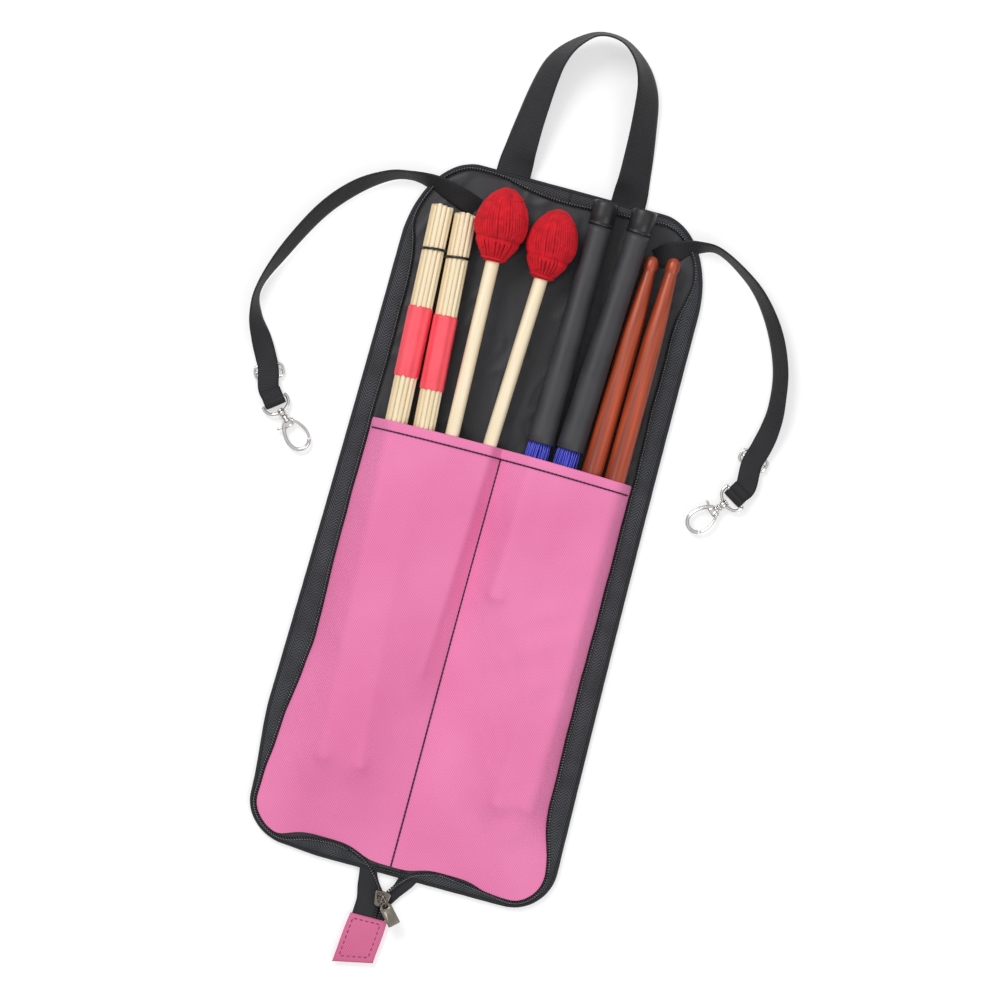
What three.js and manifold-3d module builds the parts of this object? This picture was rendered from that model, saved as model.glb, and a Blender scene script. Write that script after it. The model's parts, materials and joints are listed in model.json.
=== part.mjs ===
// Drum stick bag, lying open like a book, loaded with eight sticks.
// Millimetres. X runs across the bag, Y along it towards the handle, Z up from the table.
// The origin is at the centre of the bag's back face.
import * as THREE from 'three';
import * as BufferGeometryUtils from 'three/addons/utils/BufferGeometryUtils.js';
import Module from 'manifold-3d';

const wasm = await Module();
wasm.setup();

// ---- driving dimensions -------------------------------------------------------------------

// Clearance kept between neighbouring pieces
const GAP = 0.3;

// Outline of the open bag
const TOP_Y = 253;
const BOTTOM_Y = -253.6;
const TOP_HALF_WIDTH = 110;
const BOTTOM_HALF_WIDTH = 116.5;
const TOP_CORNER = { x: 43, y: 65 };
const BOTTOM_CORNER = 32;

// Fold between the halves: the line where the covers part, and the height of its axis
const SPINE_X = -3;
const FOLD_Z = 23;

// Layers of each half, lowest and highest Z
const SHELL_Z = [0, 1.2];
const FOAM_Z = [1.5, 2.5];
const LINER_Z = [2.8, 3.4];
const BINDING_Z = [1.5, 4.2];
const TAPE_Z = [4.5, 5.1];
const TEETH_Z = [3.8, 5.6];
const BINDING_WIDTH = 3.5;
const TAPE_INSET = 0.6;
const TAPE_WIDTH = 11.4;
const TEETH_WIDTH = 2;

// Pocket
const POCKET_MOUTH_Y = 61;
const POCKET_SHEET = 0.8;
const POCKET_INSET = TAPE_INSET + TAPE_WIDTH + TEETH_WIDTH + 2 * GAP;
const POCKET_TOP_Z = 26.2;
const POCKET_BOTTOM_TOP_Z = 21;

// Carrying handle: 25 mm webbing
const HANDLE_WIDTH = 25;
const HANDLE_THICKNESS = 1.5;
const HANDLE_ROOT_Y = TOP_Y + 1.2;
const HANDLE_NOTCH = 50;

// Side straps: 15 mm webbing
const STRAP_WIDTH = 15;
const STRAP_THICKNESS = 1;

// Snap hooks, sizes along and across the hook
const EYE = { x: -3, outer: 3.8, inner: 2.7, tail: 9 };
const HOOK_Z = 4.2;
const HOOK_LOOP = { x: 25, long: 11.5, wide: 6.6, wire: 2.6, thick: 3.2 };

// ---- materials ------------------------------------------------------------------------------

function finish(color, roughness, metalness = 0) {
  return new THREE.MeshStandardMaterial({ color, roughness, metalness });
}

const blackFabric = finish(0x26262a, 0.85);
const nylonLiner = finish(0x28282d, 0.5);
const foam = finish(0x3a3a3e, 0.95);
const pinkFabric = finish(0xeb87b4, 0.8);
const zipTape = finish(0x232428, 0.85);
const zipTeeth = finish(0x1c1c1f, 0.45);
const webbing = finish(0x28262a, 0.85);
const nickel = finish(0xc8c6c2, 0.25, 1);
const antiqueNickel = finish(0x8c8478, 0.35, 1);
const bamboo = finish(0xebd7a5, 0.6);
const redGrip = finish(0xf5555f, 0.5);
const blackRubber = finish(0x2a2a2c, 0.6);
const yarn = finish(0xcd192d, 0.9);
const birch = finish(0xeedebc, 0.5);
const greyRubber = finish(0x4e4e52, 0.6);
const blueBristle = finish(0x3c3cbe, 0.5);
const rosewood = finish(0xb9552d, 0.4);

// ---- geometry helpers -------------------------------------------------------------------------

const group = new THREE.Group();

function add(name, geometry, material, parent = group) {
  const mesh = new THREE.Mesh(geometry, material);
  mesh.name = name;
  parent.add(mesh);
  return mesh;
}

function toSolid(geometry) {
  const bare = geometry.clone();
  bare.deleteAttribute('normal');
  bare.deleteAttribute('uv');
  const merged = BufferGeometryUtils.mergeVertices(bare, 1e-4);
  const vertProperties = new Float32Array(merged.attributes.position.array);
  const triVerts = new Uint32Array(merged.index.array);
  return new wasm.Manifold(new wasm.Mesh({ numProp: 3, vertProperties, triVerts }));
}

function toGeometry(solid) {
  const mesh = solid.getMesh();
  const geometry = new THREE.BufferGeometry();
  geometry.setAttribute('position', new THREE.BufferAttribute(mesh.vertProperties, 3));
  geometry.setIndex(new THREE.BufferAttribute(mesh.triVerts, 1));
  return geometry;
}

function join(...geometries) {
  return toGeometry(geometries.map(toSolid).reduce((whole, piece) => whole.add(piece)));
}

function cut(geometry, ...tools) {
  return toGeometry(tools.map(toSolid).reduce((rest, tool) => rest.subtract(tool), toSolid(geometry)));
}

function plate(shape, [low, high], curveSegments = 8) {
  const settings = { depth: high - low, bevelEnabled: false, curveSegments };
  return new THREE.ExtrudeGeometry(shape, settings).translate(0, 0, low);
}

function block(low, high) {
  const size = high.map((value, axis) => value - low[axis]);
  const middle = high.map((value, axis) => (value + low[axis]) / 2);
  return new THREE.BoxGeometry(...size).translate(...middle);
}

function polygon(points) {
  return new THREE.Shape(points.map(([x, y]) => new THREE.Vector2(x, y)));
}

// A lathed solid whose axis runs along Y from y = 0
function turned(profile, sides = 20) {
  return new THREE.LatheGeometry(profile.map(([r, y]) => new THREE.Vector2(r, y)), sides);
}

function rod(radius, from, to, sides = 20) {
  return turned([[0, from], [radius, from], [radius, to], [0, to]], sides);
}

function sleeve(inner, outer, from, to, sides = 20) {
  return turned([[inner, from], [outer, from], [outer, to], [inner, to], [inner, from]], sides);
}

// Turns a group so that its Y axis points from the butt to the tip
function aim(butt, tip) {
  const holder = new THREE.Group();
  const start = new THREE.Vector3(...butt);
  const direction = new THREE.Vector3(...tip).sub(start);
  holder.position.copy(start);
  holder.quaternion.setFromUnitVectors(new THREE.Vector3(0, 1, 0), direction.clone().normalize());
  group.add(holder);
  return { holder, length: direction.length() };
}

// A flat band swept along stations { at, side, lift, low, high }: side points across the band,
// low and high are the distances from the centre line to its two edges
function ribbon(stations, thickness) {
  const positions = [];
  const index = [];
  const half = thickness / 2;
  for (const { at, side, lift, low, high } of stations) {
    for (const [across, up] of [[-low, -half], [high, -half], [high, half], [-low, half]]) {
      positions.push(
        at.x + side.x * across + lift.x * up,
        at.y + side.y * across + lift.y * up,
        at.z + side.z * across + lift.z * up,
      );
    }
  }
  const last = (stations.length - 1) * 4;
  for (let ring = 0; ring < last; ring += 4) {
    for (let corner = 0; corner < 4; corner += 1) {
      const a = ring + corner;
      const b = ring + ((corner + 1) % 4);
      index.push(a, b, a + 4, b, b + 4, a + 4);
    }
  }
  index.push(0, 2, 1, 0, 3, 2);
  index.push(last, last + 1, last + 2, last, last + 2, last + 3);
  const geometry = new THREE.BufferGeometry();
  geometry.setAttribute('position', new THREE.Float32BufferAttribute(positions, 3));
  geometry.setIndex(index);
  return geometry;
}

// Stations along a smooth curve through points [x, y, z, roll]: roll 0 lies flat
function stationsAlong(points, count, edges) {
  const curve = new THREE.CatmullRomCurve3(points.map(([x, y, z]) => new THREE.Vector3(x, y, z)));
  const rolls = new THREE.CatmullRomCurve3(points.map((p) => new THREE.Vector3(p[3], 0, 0)));
  const stations = [];
  for (let step = 0; step <= count; step += 1) {
    const t = step / count;
    const at = curve.getPoint(t);
    const along = curve.getTangent(t);
    along.z = 0;
    along.normalize();
    const roll = THREE.MathUtils.degToRad(rolls.getPoint(t).x);
    const across = new THREE.Vector3(-along.y, along.x, 0);
    const up = new THREE.Vector3(0, 0, 1);
    const side = across.clone().multiplyScalar(Math.cos(roll)).addScaledVector(up, Math.sin(roll));
    const lift = up.clone().multiplyScalar(Math.cos(roll)).addScaledVector(across, -Math.sin(roll));
    stations.push({ at, side, lift, ...edges(at) });
  }
  return stations;
}

// ---- the two halves ---------------------------------------------------------------------------

// Points of one half's outer edge, from the spine at the top to the spine at the bottom,
// moved inwards by inset; side is 1 for the right half and -1 for the left half
function edgePoints(side, inset) {
  const path = new THREE.Path();
  const spine = side * SPINE_X + GAP / 2;
  const top = TOP_Y - inset;
  const bottom = BOTTOM_Y + inset;
  const cornerX = TOP_HALF_WIDTH - TOP_CORNER.x;
  const cornerY = TOP_Y - TOP_CORNER.y;
  const lowX = BOTTOM_HALF_WIDTH - BOTTOM_CORNER;
  const lowY = BOTTOM_Y + BOTTOM_CORNER;
  path.moveTo(spine, top);
  path.lineTo(cornerX, top);
  path.absellipse(cornerX, cornerY, TOP_CORNER.x - inset, TOP_CORNER.y - inset, Math.PI / 2, 0, true);
  path.quadraticCurveTo(TOP_HALF_WIDTH + 1 - inset, 0, BOTTOM_HALF_WIDTH - inset, lowY);
  path.absarc(lowX, lowY, BOTTOM_CORNER - inset, 0, -Math.PI / 2, true);
  path.lineTo(spine, bottom);
  return path.getPoints(8).map((p) => new THREE.Vector2(side * p.x, p.y));
}

function panelShape(side, inset) {
  return new THREE.Shape(edgePoints(side, inset));
}

// A band that follows the outer edge, between two insets
function bandShape(side, outer, inner) {
  return new THREE.Shape([...edgePoints(side, outer), ...edgePoints(side, inner).reverse()]);
}

// The pocket is a sheet tray turned over: open at its mouth and against the liner. Its wall
// beside the centre seam leans, its top falls towards the bottom of the bag, and its other
// walls follow the outline. A sheet of 0 gives the outside, and the sheet thickness the inside.
function pocketSolid(side, seam, sheet) {
  const beyond = sheet > 0 ? 1 : 0;
  const low = LINER_Z[1] + GAP - beyond;
  const wide = BOTTOM_HALF_WIDTH;
  const ends = [
    { y: POCKET_MOUTH_Y + beyond, top: POCKET_TOP_Z - sheet },
    { y: BOTTOM_Y, top: POCKET_BOTTOM_TOP_Z - sheet },
  ];
  const positions = ends.flatMap(({ y, top }) => [
    side * (seam.foot + sheet), y, low,
    side * wide, y, low,
    side * wide, y, top,
    side * (seam.top + sheet), y, top,
  ]);
  const index = [0, 1, 2, 0, 2, 3, 4, 6, 5, 4, 7, 6];
  for (let corner = 0; corner < 4; corner += 1) {
    const next = (corner + 1) % 4;
    index.push(corner, corner + 4, next, next, corner + 4, next + 4);
  }
  if (side > 0) index.reverse();
  const wedge = new THREE.BufferGeometry();
  wedge.setAttribute('position', new THREE.Float32BufferAttribute(positions, 3));
  wedge.setIndex(index);
  const outline = plate(panelShape(side, POCKET_INSET + sheet), [low - 1, POCKET_TOP_Z + 1]);
  return toSolid(wedge).intersect(toSolid(outline));
}

function pocket(side, seam) {
  return toGeometry(pocketSolid(side, seam, 0).subtract(pocketSolid(side, seam, POCKET_SHEET)));
}

const seams = {
  right: { foot: 0.8, top: 12.5 },
  left: { foot: 3.6, top: 4 },
};

function buildHalf(word, side) {
  add(`shell_${word}`, plate(panelShape(side, 0), SHELL_Z), blackFabric);
  add(`foam_${word}`, plate(panelShape(side, BINDING_WIDTH + GAP), FOAM_Z), foam);
  add(`liner_${word}`, plate(panelShape(side, BINDING_WIDTH + GAP), LINER_Z), nylonLiner);
  add(`binding_${word}`, plate(bandShape(side, 0, BINDING_WIDTH), BINDING_Z), blackFabric);
  const tapeEnd = TAPE_INSET + TAPE_WIDTH;
  const teethStart = tapeEnd + GAP;
  add(`zip_tape_${word}`, plate(bandShape(side, TAPE_INSET, tapeEnd), TAPE_Z), zipTape);
  const teethBand = bandShape(side, teethStart, teethStart + TEETH_WIDTH);
  add(`zip_teeth_${word}`, plate(teethBand, TEETH_Z), zipTeeth);
  add(`pocket_${word}`, pocket(side, seams[word]), pinkFabric);
}

buildHalf('right', 1);
buildHalf('left', -1);

// ---- carrying handle --------------------------------------------------------------------------

// One leg of the loop, from its root at the top edge to the crown. The webbing lies flat at the
// root and stands on edge at the crown, where it is notched so the two legs can close like a book.
function handleLeg(side, rootX) {
  const flat = 2.4;
  const points = [
    [rootX, HANDLE_ROOT_Y, flat, 0],
    [rootX + side * 0.5, HANDLE_ROOT_Y + 16, flat + 2, 8],
    [rootX + side * -1.2, HANDLE_ROOT_Y + 33, flat + 4.6, 24],
    [rootX + side * -5.6, HANDLE_ROOT_Y + 68, flat + 10.5, 52],
    [side * 27 + SPINE_X, HANDLE_ROOT_Y + 97, flat + 16.5, 74],
    [side * 13 + SPINE_X, HANDLE_ROOT_Y + 107, FOLD_Z - 1, 86],
    [side * 2 * GAP + SPINE_X, HANDLE_ROOT_Y + 110.5, FOLD_Z, 90],
  ];
  const half = HANDLE_WIDTH / 2;
  const stations = stationsAlong(points, 22, (at) => {
    const notch = Math.min(half, 0.04 + (half * Math.abs(at.x - SPINE_X)) / HANDLE_NOTCH);
    return side < 0 ? { low: notch, high: half } : { low: half, high: notch };
  });
  for (const station of stations) {
    // the outer edge stays low, so the roll turns opposite ways on the two legs
    if (side < 0) {
      station.side.z *= -1;
      station.lift.x *= -1;
      station.lift.y *= -1;
    }
  }
  return ribbon(stations, HANDLE_THICKNESS);
}

add('handle_webbing_left', handleLeg(-1, -43.6), webbing);
add('handle_webbing_right', handleLeg(1, 40.4), webbing);

// ---- zip tail, slider and pull ----------------------------------------------------------------

const TAIL_TAPE_Z = [2, 2.6];
const TAIL_TEETH_Z = [2.9, 5];
const TAIL_END_Y = -285.5;
const TAIL_TOP_Y = BOTTOM_Y - GAP;
const SLIDER = { x: 0, y: -271, halfWidth: 6, halfLength: 5.5 };

const tailTape = polygon([
  [-19, TAIL_TOP_Y], [-18, TAIL_END_Y], [9, TAIL_END_Y], [11, -277], [20, TAIL_TOP_Y],
  [4, TAIL_TOP_Y], [0, SLIDER.y - 1], [-5, TAIL_TOP_Y],
]);
add('zip_tail_tape', plate(tailTape, TAIL_TAPE_Z), zipTape);

const tailTeeth = polygon([
  [-8, TAIL_TOP_Y], [-3, SLIDER.y], [-3, TAIL_END_Y], [3, TAIL_END_Y], [3, SLIDER.y],
  [7.5, TAIL_TOP_Y], [4.4, TAIL_TOP_Y], [0, SLIDER.y - 0.6], [-5.4, TAIL_TOP_Y],
]);
add('zip_tail_teeth', plate(tailTeeth, TAIL_TEETH_Z), zipTeeth);

const endTab = polygon([[-19, -286], [8, -285.8], [6, -317], [-23, -323]]);
add('end_tab', plate(endTab, [1.6, 5]), pinkFabric);

// Slider: two plates joined by a post at the mouth, with a bridge over the pull's link
function sliderBody() {
  const { x, y, halfWidth, halfLength } = SLIDER;
  const wedge = (low, high) => plate(polygon([
    [x - halfWidth, y + halfLength], [x - halfWidth + 1.8, y - halfLength],
    [x + halfWidth - 1.8, y - halfLength], [x + halfWidth, y + halfLength],
  ]), [low, high]);
  return join(
    wedge(0.6, 1.6),
    wedge(5.3, 6.4),
    block([x - 0.8, y + 3.7, 1.4], [x + 0.8, y + 5.4, 5.5]),
    block([x - 0.7, y + 2.2, 6.2], [x + 0.7, y + 3.4, 10.2]),
    block([x - 0.7, y - 3.4, 6.2], [x + 0.7, y - 2.4, 10.2]),
    block([x - 0.7, y - 3.4, 9], [x + 0.7, y + 3.4, 10.2]),
  );
}

add('slider_body', sliderBody(), antiqueNickel);

// Pull: a link ring standing on its edge through the bridge, and a flat tab hung on the ring
const PULL = { angle: -48, ringX: 0.8, ringRadius: 4.4, wire: 0.65, ringZ: 7.5, tabZ: [11.2, 12.2] };
const pull = new THREE.Group();
pull.position.set(SLIDER.x, SLIDER.y + 0.6, 0);
pull.rotation.z = THREE.MathUtils.degToRad(PULL.angle);
group.add(pull);

const link = new THREE.TorusGeometry(PULL.ringRadius, PULL.wire, 8, 24);
link.rotateX(Math.PI / 2).translate(PULL.ringX, 0, PULL.ringZ + PULL.ringRadius);
add('pull_ring', link, antiqueNickel, pull);

const tabShape = polygon([[3.1, -1.6], [6, -4.5], [20.5, -4.5], [20.5, 4.5], [6, 4.5], [3.1, 1.6]]);
tabShape.holes.push(new THREE.Path().absarc(5.2, 0, 1.2, 0, Math.PI * 2, true));
add('pull_tab', plate(tabShape, PULL.tabZ), antiqueNickel, pull);

// ---- side straps with adjusters and snap hooks ------------------------------------------------

const straps = {
  left: {
    side: -1,
    points: [
      [-66, 225, 6.4, 0], [-80, 228, 6.4, 0], [-99, 231, 8, -10], [-111, 231, 9, -35],
      [-127, 228, 9, -70], [-150, 214, 9, -88], [-170, 191, 9, -88], [-191, 152, 8.6, -80],
      [-198.5, 124, 8.4, -90], [-194, 106, 7, -45], [-186, 92, 4.4, -8], [-180, 81, 4.2, 0],
      [-176, 72.5, 4.2, 0], [-171.4, 62.2, 4.2, 0],
    ],
    adjuster: { x: -175.6, y: 71.5, angle: -66 },
    eye: { x: -164.5, y: 49.5, angle: -42, loopAngle: -52 },
  },
  right: {
    side: 1,
    points: [
      [73, 224, 6.4, 0], [84, 229.5, 6.4, 0], [98, 237, 9, 20], [112, 238, 9.6, 78],
      [134, 227, 8.4, 70], [151, 212, 8.4, 60], [166, 192, 8, 55], [176, 167, 8, 60],
      [180, 141, 7, 45], [179.5, 124, 4.6, 12], [177, 110, 4.2, 0], [173.5, 95, 4.2, 0],
      [171.6, 85, 4.2, 0],
    ],
    adjuster: { x: 174.6, y: 100, angle: -104 },
    eye: { x: 167, y: 69, angle: -131, loopAngle: -121 },
  },
};

function strapBand(points) {
  const half = STRAP_WIDTH / 2;
  return ribbon(stationsAlong(points, 56, () => ({ low: half, high: half })), STRAP_THICKNESS);
}

// Tri-glide adjuster, flat, with its bars across the strap; X runs along the strap
function triglide() {
  const long = 5;
  const wide = 10.6;
  const bar = 1.7;
  const frame = new THREE.Shape();
  frame.moveTo(-long, -wide);
  frame.lineTo(long, -wide);
  frame.lineTo(long, wide);
  frame.lineTo(-long, wide);
  const window = new THREE.Path();
  window.moveTo(-long + bar, -wide + 2);
  window.lineTo(-long + bar, wide - 2);
  window.lineTo(long - bar, wide - 2);
  window.lineTo(long - bar, -wide + 2);
  frame.holes.push(window);
  return join(
    plate(frame, [-2.2, -1]),
    block([-0.9, -wide, -1.4], [0.9, -wide + 1.8, 2.2]),
    block([-0.9, wide - 1.8, -1.4], [0.9, wide, 2.2]),
    block([-0.9, -wide, 1], [0.9, wide, 2.2]),
  );
}

// Sewn end of a strap, folded round the ring's bar: an eye at X = EYE.x with a doubled tail
function endLoop() {
  const profile = new THREE.Shape();
  profile.moveTo(EYE.x - EYE.tail, -1.5);
  profile.lineTo(EYE.x - 3.4, -1.5);
  profile.absarc(EYE.x, 0, EYE.outer, -Math.PI * 0.85, Math.PI * 0.85, false);
  profile.lineTo(EYE.x - 3.4, 1.5);
  profile.lineTo(EYE.x - EYE.tail, 1.5);
  profile.holes.push(new THREE.Path().absarc(EYE.x, 0, EYE.inner, 0, Math.PI * 2, true));
  const depth = STRAP_WIDTH;
  const geometry = new THREE.ExtrudeGeometry(profile, { depth, bevelEnabled: false, curveSegments: 10 });
  return geometry.rotateX(Math.PI / 2).translate(0, STRAP_WIDTH / 2, 0);
}

// Ring with a round bar for the strap and a bored boss for the hook's stem
function swivelRing() {
  const outside = new THREE.Shape();
  outside.moveTo(EYE.x, -10.6);
  outside.lineTo(EYE.x + 3, -10.6);
  outside.quadraticCurveTo(EYE.x + 8, -9.4, EYE.x + 11, -3);
  outside.lineTo(EYE.x + 11, 3);
  outside.quadraticCurveTo(EYE.x + 8, 9.4, EYE.x + 3, 10.6);
  outside.lineTo(EYE.x, 10.6);
  outside.lineTo(EYE.x, 8.8);
  outside.lineTo(EYE.x + 3, 8.8);
  outside.quadraticCurveTo(EYE.x + 6.6, 7.6, EYE.x + 8.4, 2.6);
  outside.lineTo(EYE.x + 8.4, -2.6);
  outside.quadraticCurveTo(EYE.x + 6.6, -7.6, EYE.x + 3, -8.8);
  outside.lineTo(EYE.x, -8.8);
  const bar = rod(1.1, -10.6, 10.6, 16).translate(EYE.x, 0, 0);
  const boss = rod(2.7, EYE.x + 8.2, EYE.x + 11.4, 16).rotateZ(-Math.PI / 2);
  const bore = rod(1.5, EYE.x + 7, EYE.x + 13, 16).rotateZ(-Math.PI / 2);
  return cut(join(plate(outside, [-1.1, 1.1], 6), bar, boss), bore);
}

const STEM_X = EYE.x + 6;
const GATE = { pivot: 148, tip: 54, nose: 43, pinRadius: 0.65, eyeRadius: 1.9 };

function onLoop(degrees, offset = 0) {
  const angle = THREE.MathUtils.degToRad(degrees);
  const x = HOOK_LOOP.x + (HOOK_LOOP.long + offset) * Math.cos(angle);
  const y = (HOOK_LOOP.wide + offset) * Math.sin(angle);
  return [x, y];
}

function loopArc(from, to, width, thick, steps) {
  const outer = [];
  const inner = [];
  for (let step = 0; step <= steps; step += 1) {
    const angle = from + ((to - from) * step) / steps;
    outer.push(onLoop(angle, width / 2));
    inner.push(onLoop(angle, -width / 2));
  }
  return plate(polygon([...outer, ...inner.reverse()]), [-thick / 2, thick / 2]);
}

function disc([x, y], radius, thick) {
  return rod(radius, -thick / 2, thick / 2, 16).rotateX(Math.PI / 2).translate(x, y, 0);
}

function hookBody() {
  const pivot = onLoop(GATE.pivot);
  const stem = turned([
    [0, STEM_X - 0.6], [2.3, STEM_X - 0.6], [2.3, STEM_X + 0.9], [1.1, STEM_X + 0.9],
    [1.1, STEM_X + 6.2], [2.6, STEM_X + 6.2], [2.6, STEM_X + 10.6], [0, STEM_X + 10.6],
  ], 16).rotateZ(-Math.PI / 2);
  const whole = join(
    loopArc(GATE.nose, GATE.pivot - 360, HOOK_LOOP.wire, HOOK_LOOP.thick, 30),
    disc(pivot, 2.2, HOOK_LOOP.thick),
    stem,
  );
  const fork = disc(pivot, 3.4, 1.7);
  const pinHole = disc(pivot, GATE.pinRadius + 0.2, 8);
  return cut(whole, fork, pinHole);
}

function gateLever() {
  const pivot = onLoop(GATE.pivot);
  const arm = loopArc(GATE.pivot - 30, GATE.tip, 2, 2.4, 10);
  const bridge = loopArc(GATE.pivot - 2, GATE.pivot - 31, 1.6, 1.1, 4);
  const hole = disc(pivot, GATE.pinRadius + 0.25, 8);
  return cut(join(arm, bridge, disc(pivot, GATE.eyeRadius, 1.1)), hole);
}

for (const [word, strap] of Object.entries(straps)) {
  add(`strap_webbing_${word}`, strapBand(strap.points), webbing);

  const glide = new THREE.Group();
  glide.position.set(strap.adjuster.x, strap.adjuster.y, 4.2);
  glide.rotation.z = THREE.MathUtils.degToRad(strap.adjuster.angle);
  group.add(glide);
  add(`triglide_${word}`, triglide(), nickel, glide);

  const loop = new THREE.Group();
  const heading = THREE.MathUtils.degToRad(strap.eye.loopAngle);
  loop.position.set(strap.eye.x, strap.eye.y, HOOK_Z);
  loop.rotation.z = heading;
  group.add(loop);
  add(`strap_end_loop_${word}`, endLoop(), webbing, loop);

  const hook = new THREE.Group();
  const turn = THREE.MathUtils.degToRad(strap.eye.angle);
  const eyeX = strap.eye.x + EYE.x * Math.cos(heading);
  const eyeY = strap.eye.y + EYE.x * Math.sin(heading);
  hook.position.set(eyeX - EYE.x * Math.cos(turn), eyeY - EYE.x * Math.sin(turn), HOOK_Z);
  hook.rotation.z = turn;
  group.add(hook);
  add(`swivel_ring_${word}`, swivelRing(), nickel, hook);
  add(`hook_body_${word}`, hookBody(), nickel, hook);
  const pin = disc(onLoop(GATE.pivot), GATE.pinRadius, HOOK_LOOP.thick);
  add(`gate_pin_${word}`, pin, nickel, hook);
  add(`gate_${word}`, gateLever(), nickel, hook);
}

// ---- the load: rods, mallets, brushes and sticks ----------------------------------------------

// Bundled dowel rod with a hand grip and a sliding band
function bundleRod(word, butt, tip, grip, band) {
  const { holder, length } = aim(butt, tip);
  const radius = 8.2;
  add(`rod_${word}_dowels`, rod(radius, 0, length), bamboo, holder);
  add(`rod_${word}_grip`, sleeve(radius + GAP, 9, length - grip[1], length - grip[0], 12), redGrip, holder);
  add(`rod_${word}_band`, sleeve(radius + 0.2, 8.8, length - band - 2, length - band), blackRubber, holder);
}

bundleRod('1', [-66, -182, 12.1], [-86.2, 218, 16.7], [74.5, 125.5], 32);
bundleRod('2', [-41.3, -183, 12.1], [-68.8, 216.4, 16.7], [74.6, 128.5], 32);

// Mallet: a shaft and an egg-shaped wound head with a blind bore
function mallet(word, butt, headCentre, radius, halfLength) {
  const { holder, length } = aim(butt, headCentre);
  const shaft = 5;
  const boreTop = 8;
  const profile = [];
  const neck = Math.asin((shaft + GAP) / radius);
  for (let step = 0; step <= 14; step += 1) {
    const angle = neck + ((Math.PI - neck) * step) / 14;
    profile.push([radius * Math.sin(angle), length - halfLength * Math.cos(angle)]);
  }
  profile[14][0] = 0;
  profile.push([0, length + boreTop], [shaft + GAP, length + boreTop], profile[0]);
  add(`mallet_${word}_shaft`, rod(shaft, 0, length + boreTop - GAP), birch, holder);
  add(`mallet_${word}_head`, turned(profile, 28), yarn, holder);
}

mallet('1', [-32, -109, 8.9], [-42.4, 213.6, 27.5], 19.2, 28);
mallet('2', [-15.9, -107, 8.9], [-4.4, 209.6, 23], 18.3, 27);

// Retractable brush: cap, rubber tube and a fan of bristles, stored bristles down
function brush(word, foot, top, topRadius) {
  const { holder, length } = aim(foot, top);
  const bristles = 113;
  const cap = 17.8;
  const fan = turned([[0, 0], [7.7, 0], [9.3, bristles - 12], [8.2, bristles - GAP], [0, bristles - GAP]], 18);
  const body = [[0, bristles], [10.1, bristles], [10.1, bristles + 6], [topRadius, length - cap - GAP],
    [0, length - cap - GAP]];
  add(`brush_${word}_bristles`, fan, blueBristle, holder);
  add(`brush_${word}_tube`, turned(body), greyRubber, holder);
  add(`brush_${word}_cap`, rod(9.2, length - cap, length), blackRubber, holder);
}

brush('1', [24, -41, 13.5], [25.6, 249.6, 17], 8.5);
brush('2', [41, -40, 11.6], [53.6, 250.7, 23.6], 8.5);

// Drum stick: rounded butt, long taper, neck and bead
function stick(word, butt, tip) {
  const { holder, length } = aim(butt, tip);
  const body = 7.6;
  const profile = [
    [0, 0], [4.5, 0.8], [6.8, 3], [body, 7], [body, length - 78], [7, length - 58], [5.6, length - 36],
    [4.1, length - 18], [3.3, length - 11], [3.5, length - 9.5], [4.1, length - 6.5], [3.8, length - 3],
    [2.4, length - 0.8], [0, length],
  ];
  add(`stick_${word}`, turned(profile), rosewood, holder);
}

stick('1', [62.1, -184, 11.7], [67.6, 221.4, 14.4]);
stick('2', [81.8, -182, 11.7], [82.9, 223.9, 16.6]);

export default group;
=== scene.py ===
"""Drum stick bag lying open, loaded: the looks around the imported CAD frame. Lengths below are in mm."""
import json
import math
import random

import bpy
import numpy as np
from mathutils import Matrix, Vector, noise


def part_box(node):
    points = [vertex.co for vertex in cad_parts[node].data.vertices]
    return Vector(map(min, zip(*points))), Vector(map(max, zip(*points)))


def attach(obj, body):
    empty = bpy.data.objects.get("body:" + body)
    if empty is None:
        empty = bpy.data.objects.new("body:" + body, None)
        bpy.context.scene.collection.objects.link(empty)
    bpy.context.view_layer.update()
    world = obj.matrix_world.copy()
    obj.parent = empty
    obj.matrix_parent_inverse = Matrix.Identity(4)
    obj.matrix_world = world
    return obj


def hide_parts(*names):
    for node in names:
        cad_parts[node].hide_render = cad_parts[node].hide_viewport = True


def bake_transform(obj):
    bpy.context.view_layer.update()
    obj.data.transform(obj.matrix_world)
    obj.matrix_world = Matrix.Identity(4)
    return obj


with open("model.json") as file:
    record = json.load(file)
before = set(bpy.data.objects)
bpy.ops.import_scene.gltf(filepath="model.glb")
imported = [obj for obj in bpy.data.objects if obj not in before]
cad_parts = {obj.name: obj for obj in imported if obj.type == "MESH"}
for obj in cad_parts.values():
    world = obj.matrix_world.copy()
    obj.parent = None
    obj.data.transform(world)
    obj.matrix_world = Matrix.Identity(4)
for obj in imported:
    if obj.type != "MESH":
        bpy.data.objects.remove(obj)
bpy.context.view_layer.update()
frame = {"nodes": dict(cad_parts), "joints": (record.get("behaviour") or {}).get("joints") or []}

MM = 0.001
JOINTS = {joint["name"]: joint for joint in frame["joints"]}


def node_box(*nodes):
    """Lowest and highest corner of some CAD nodes together, in mm."""
    boxes = [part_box(node) for node in nodes]
    low = np.min([list(low) for low, _ in boxes], axis=0) / MM
    high = np.max([list(high) for _, high in boxes], axis=0) / MM
    return low, high


# ---- sizes read from the frame ------------------------------------------------------------------

BAG_LOW, BAG_HIGH = node_box("shell_left", "shell_right")
TOP_Y, BOTTOM_Y = BAG_HIGH[1], BAG_LOW[1]
BOTTOM_HALF_WIDTH = BAG_HIGH[0]
SPINE_X, _, FOLD_Z = [v / MM for v in JOINTS["bag_fold"]["pos_m"]]
MOUTH_Y = node_box("pocket_left")[1][1]
POCKET_TOP_Z = node_box("pocket_left")[1][2]

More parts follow.
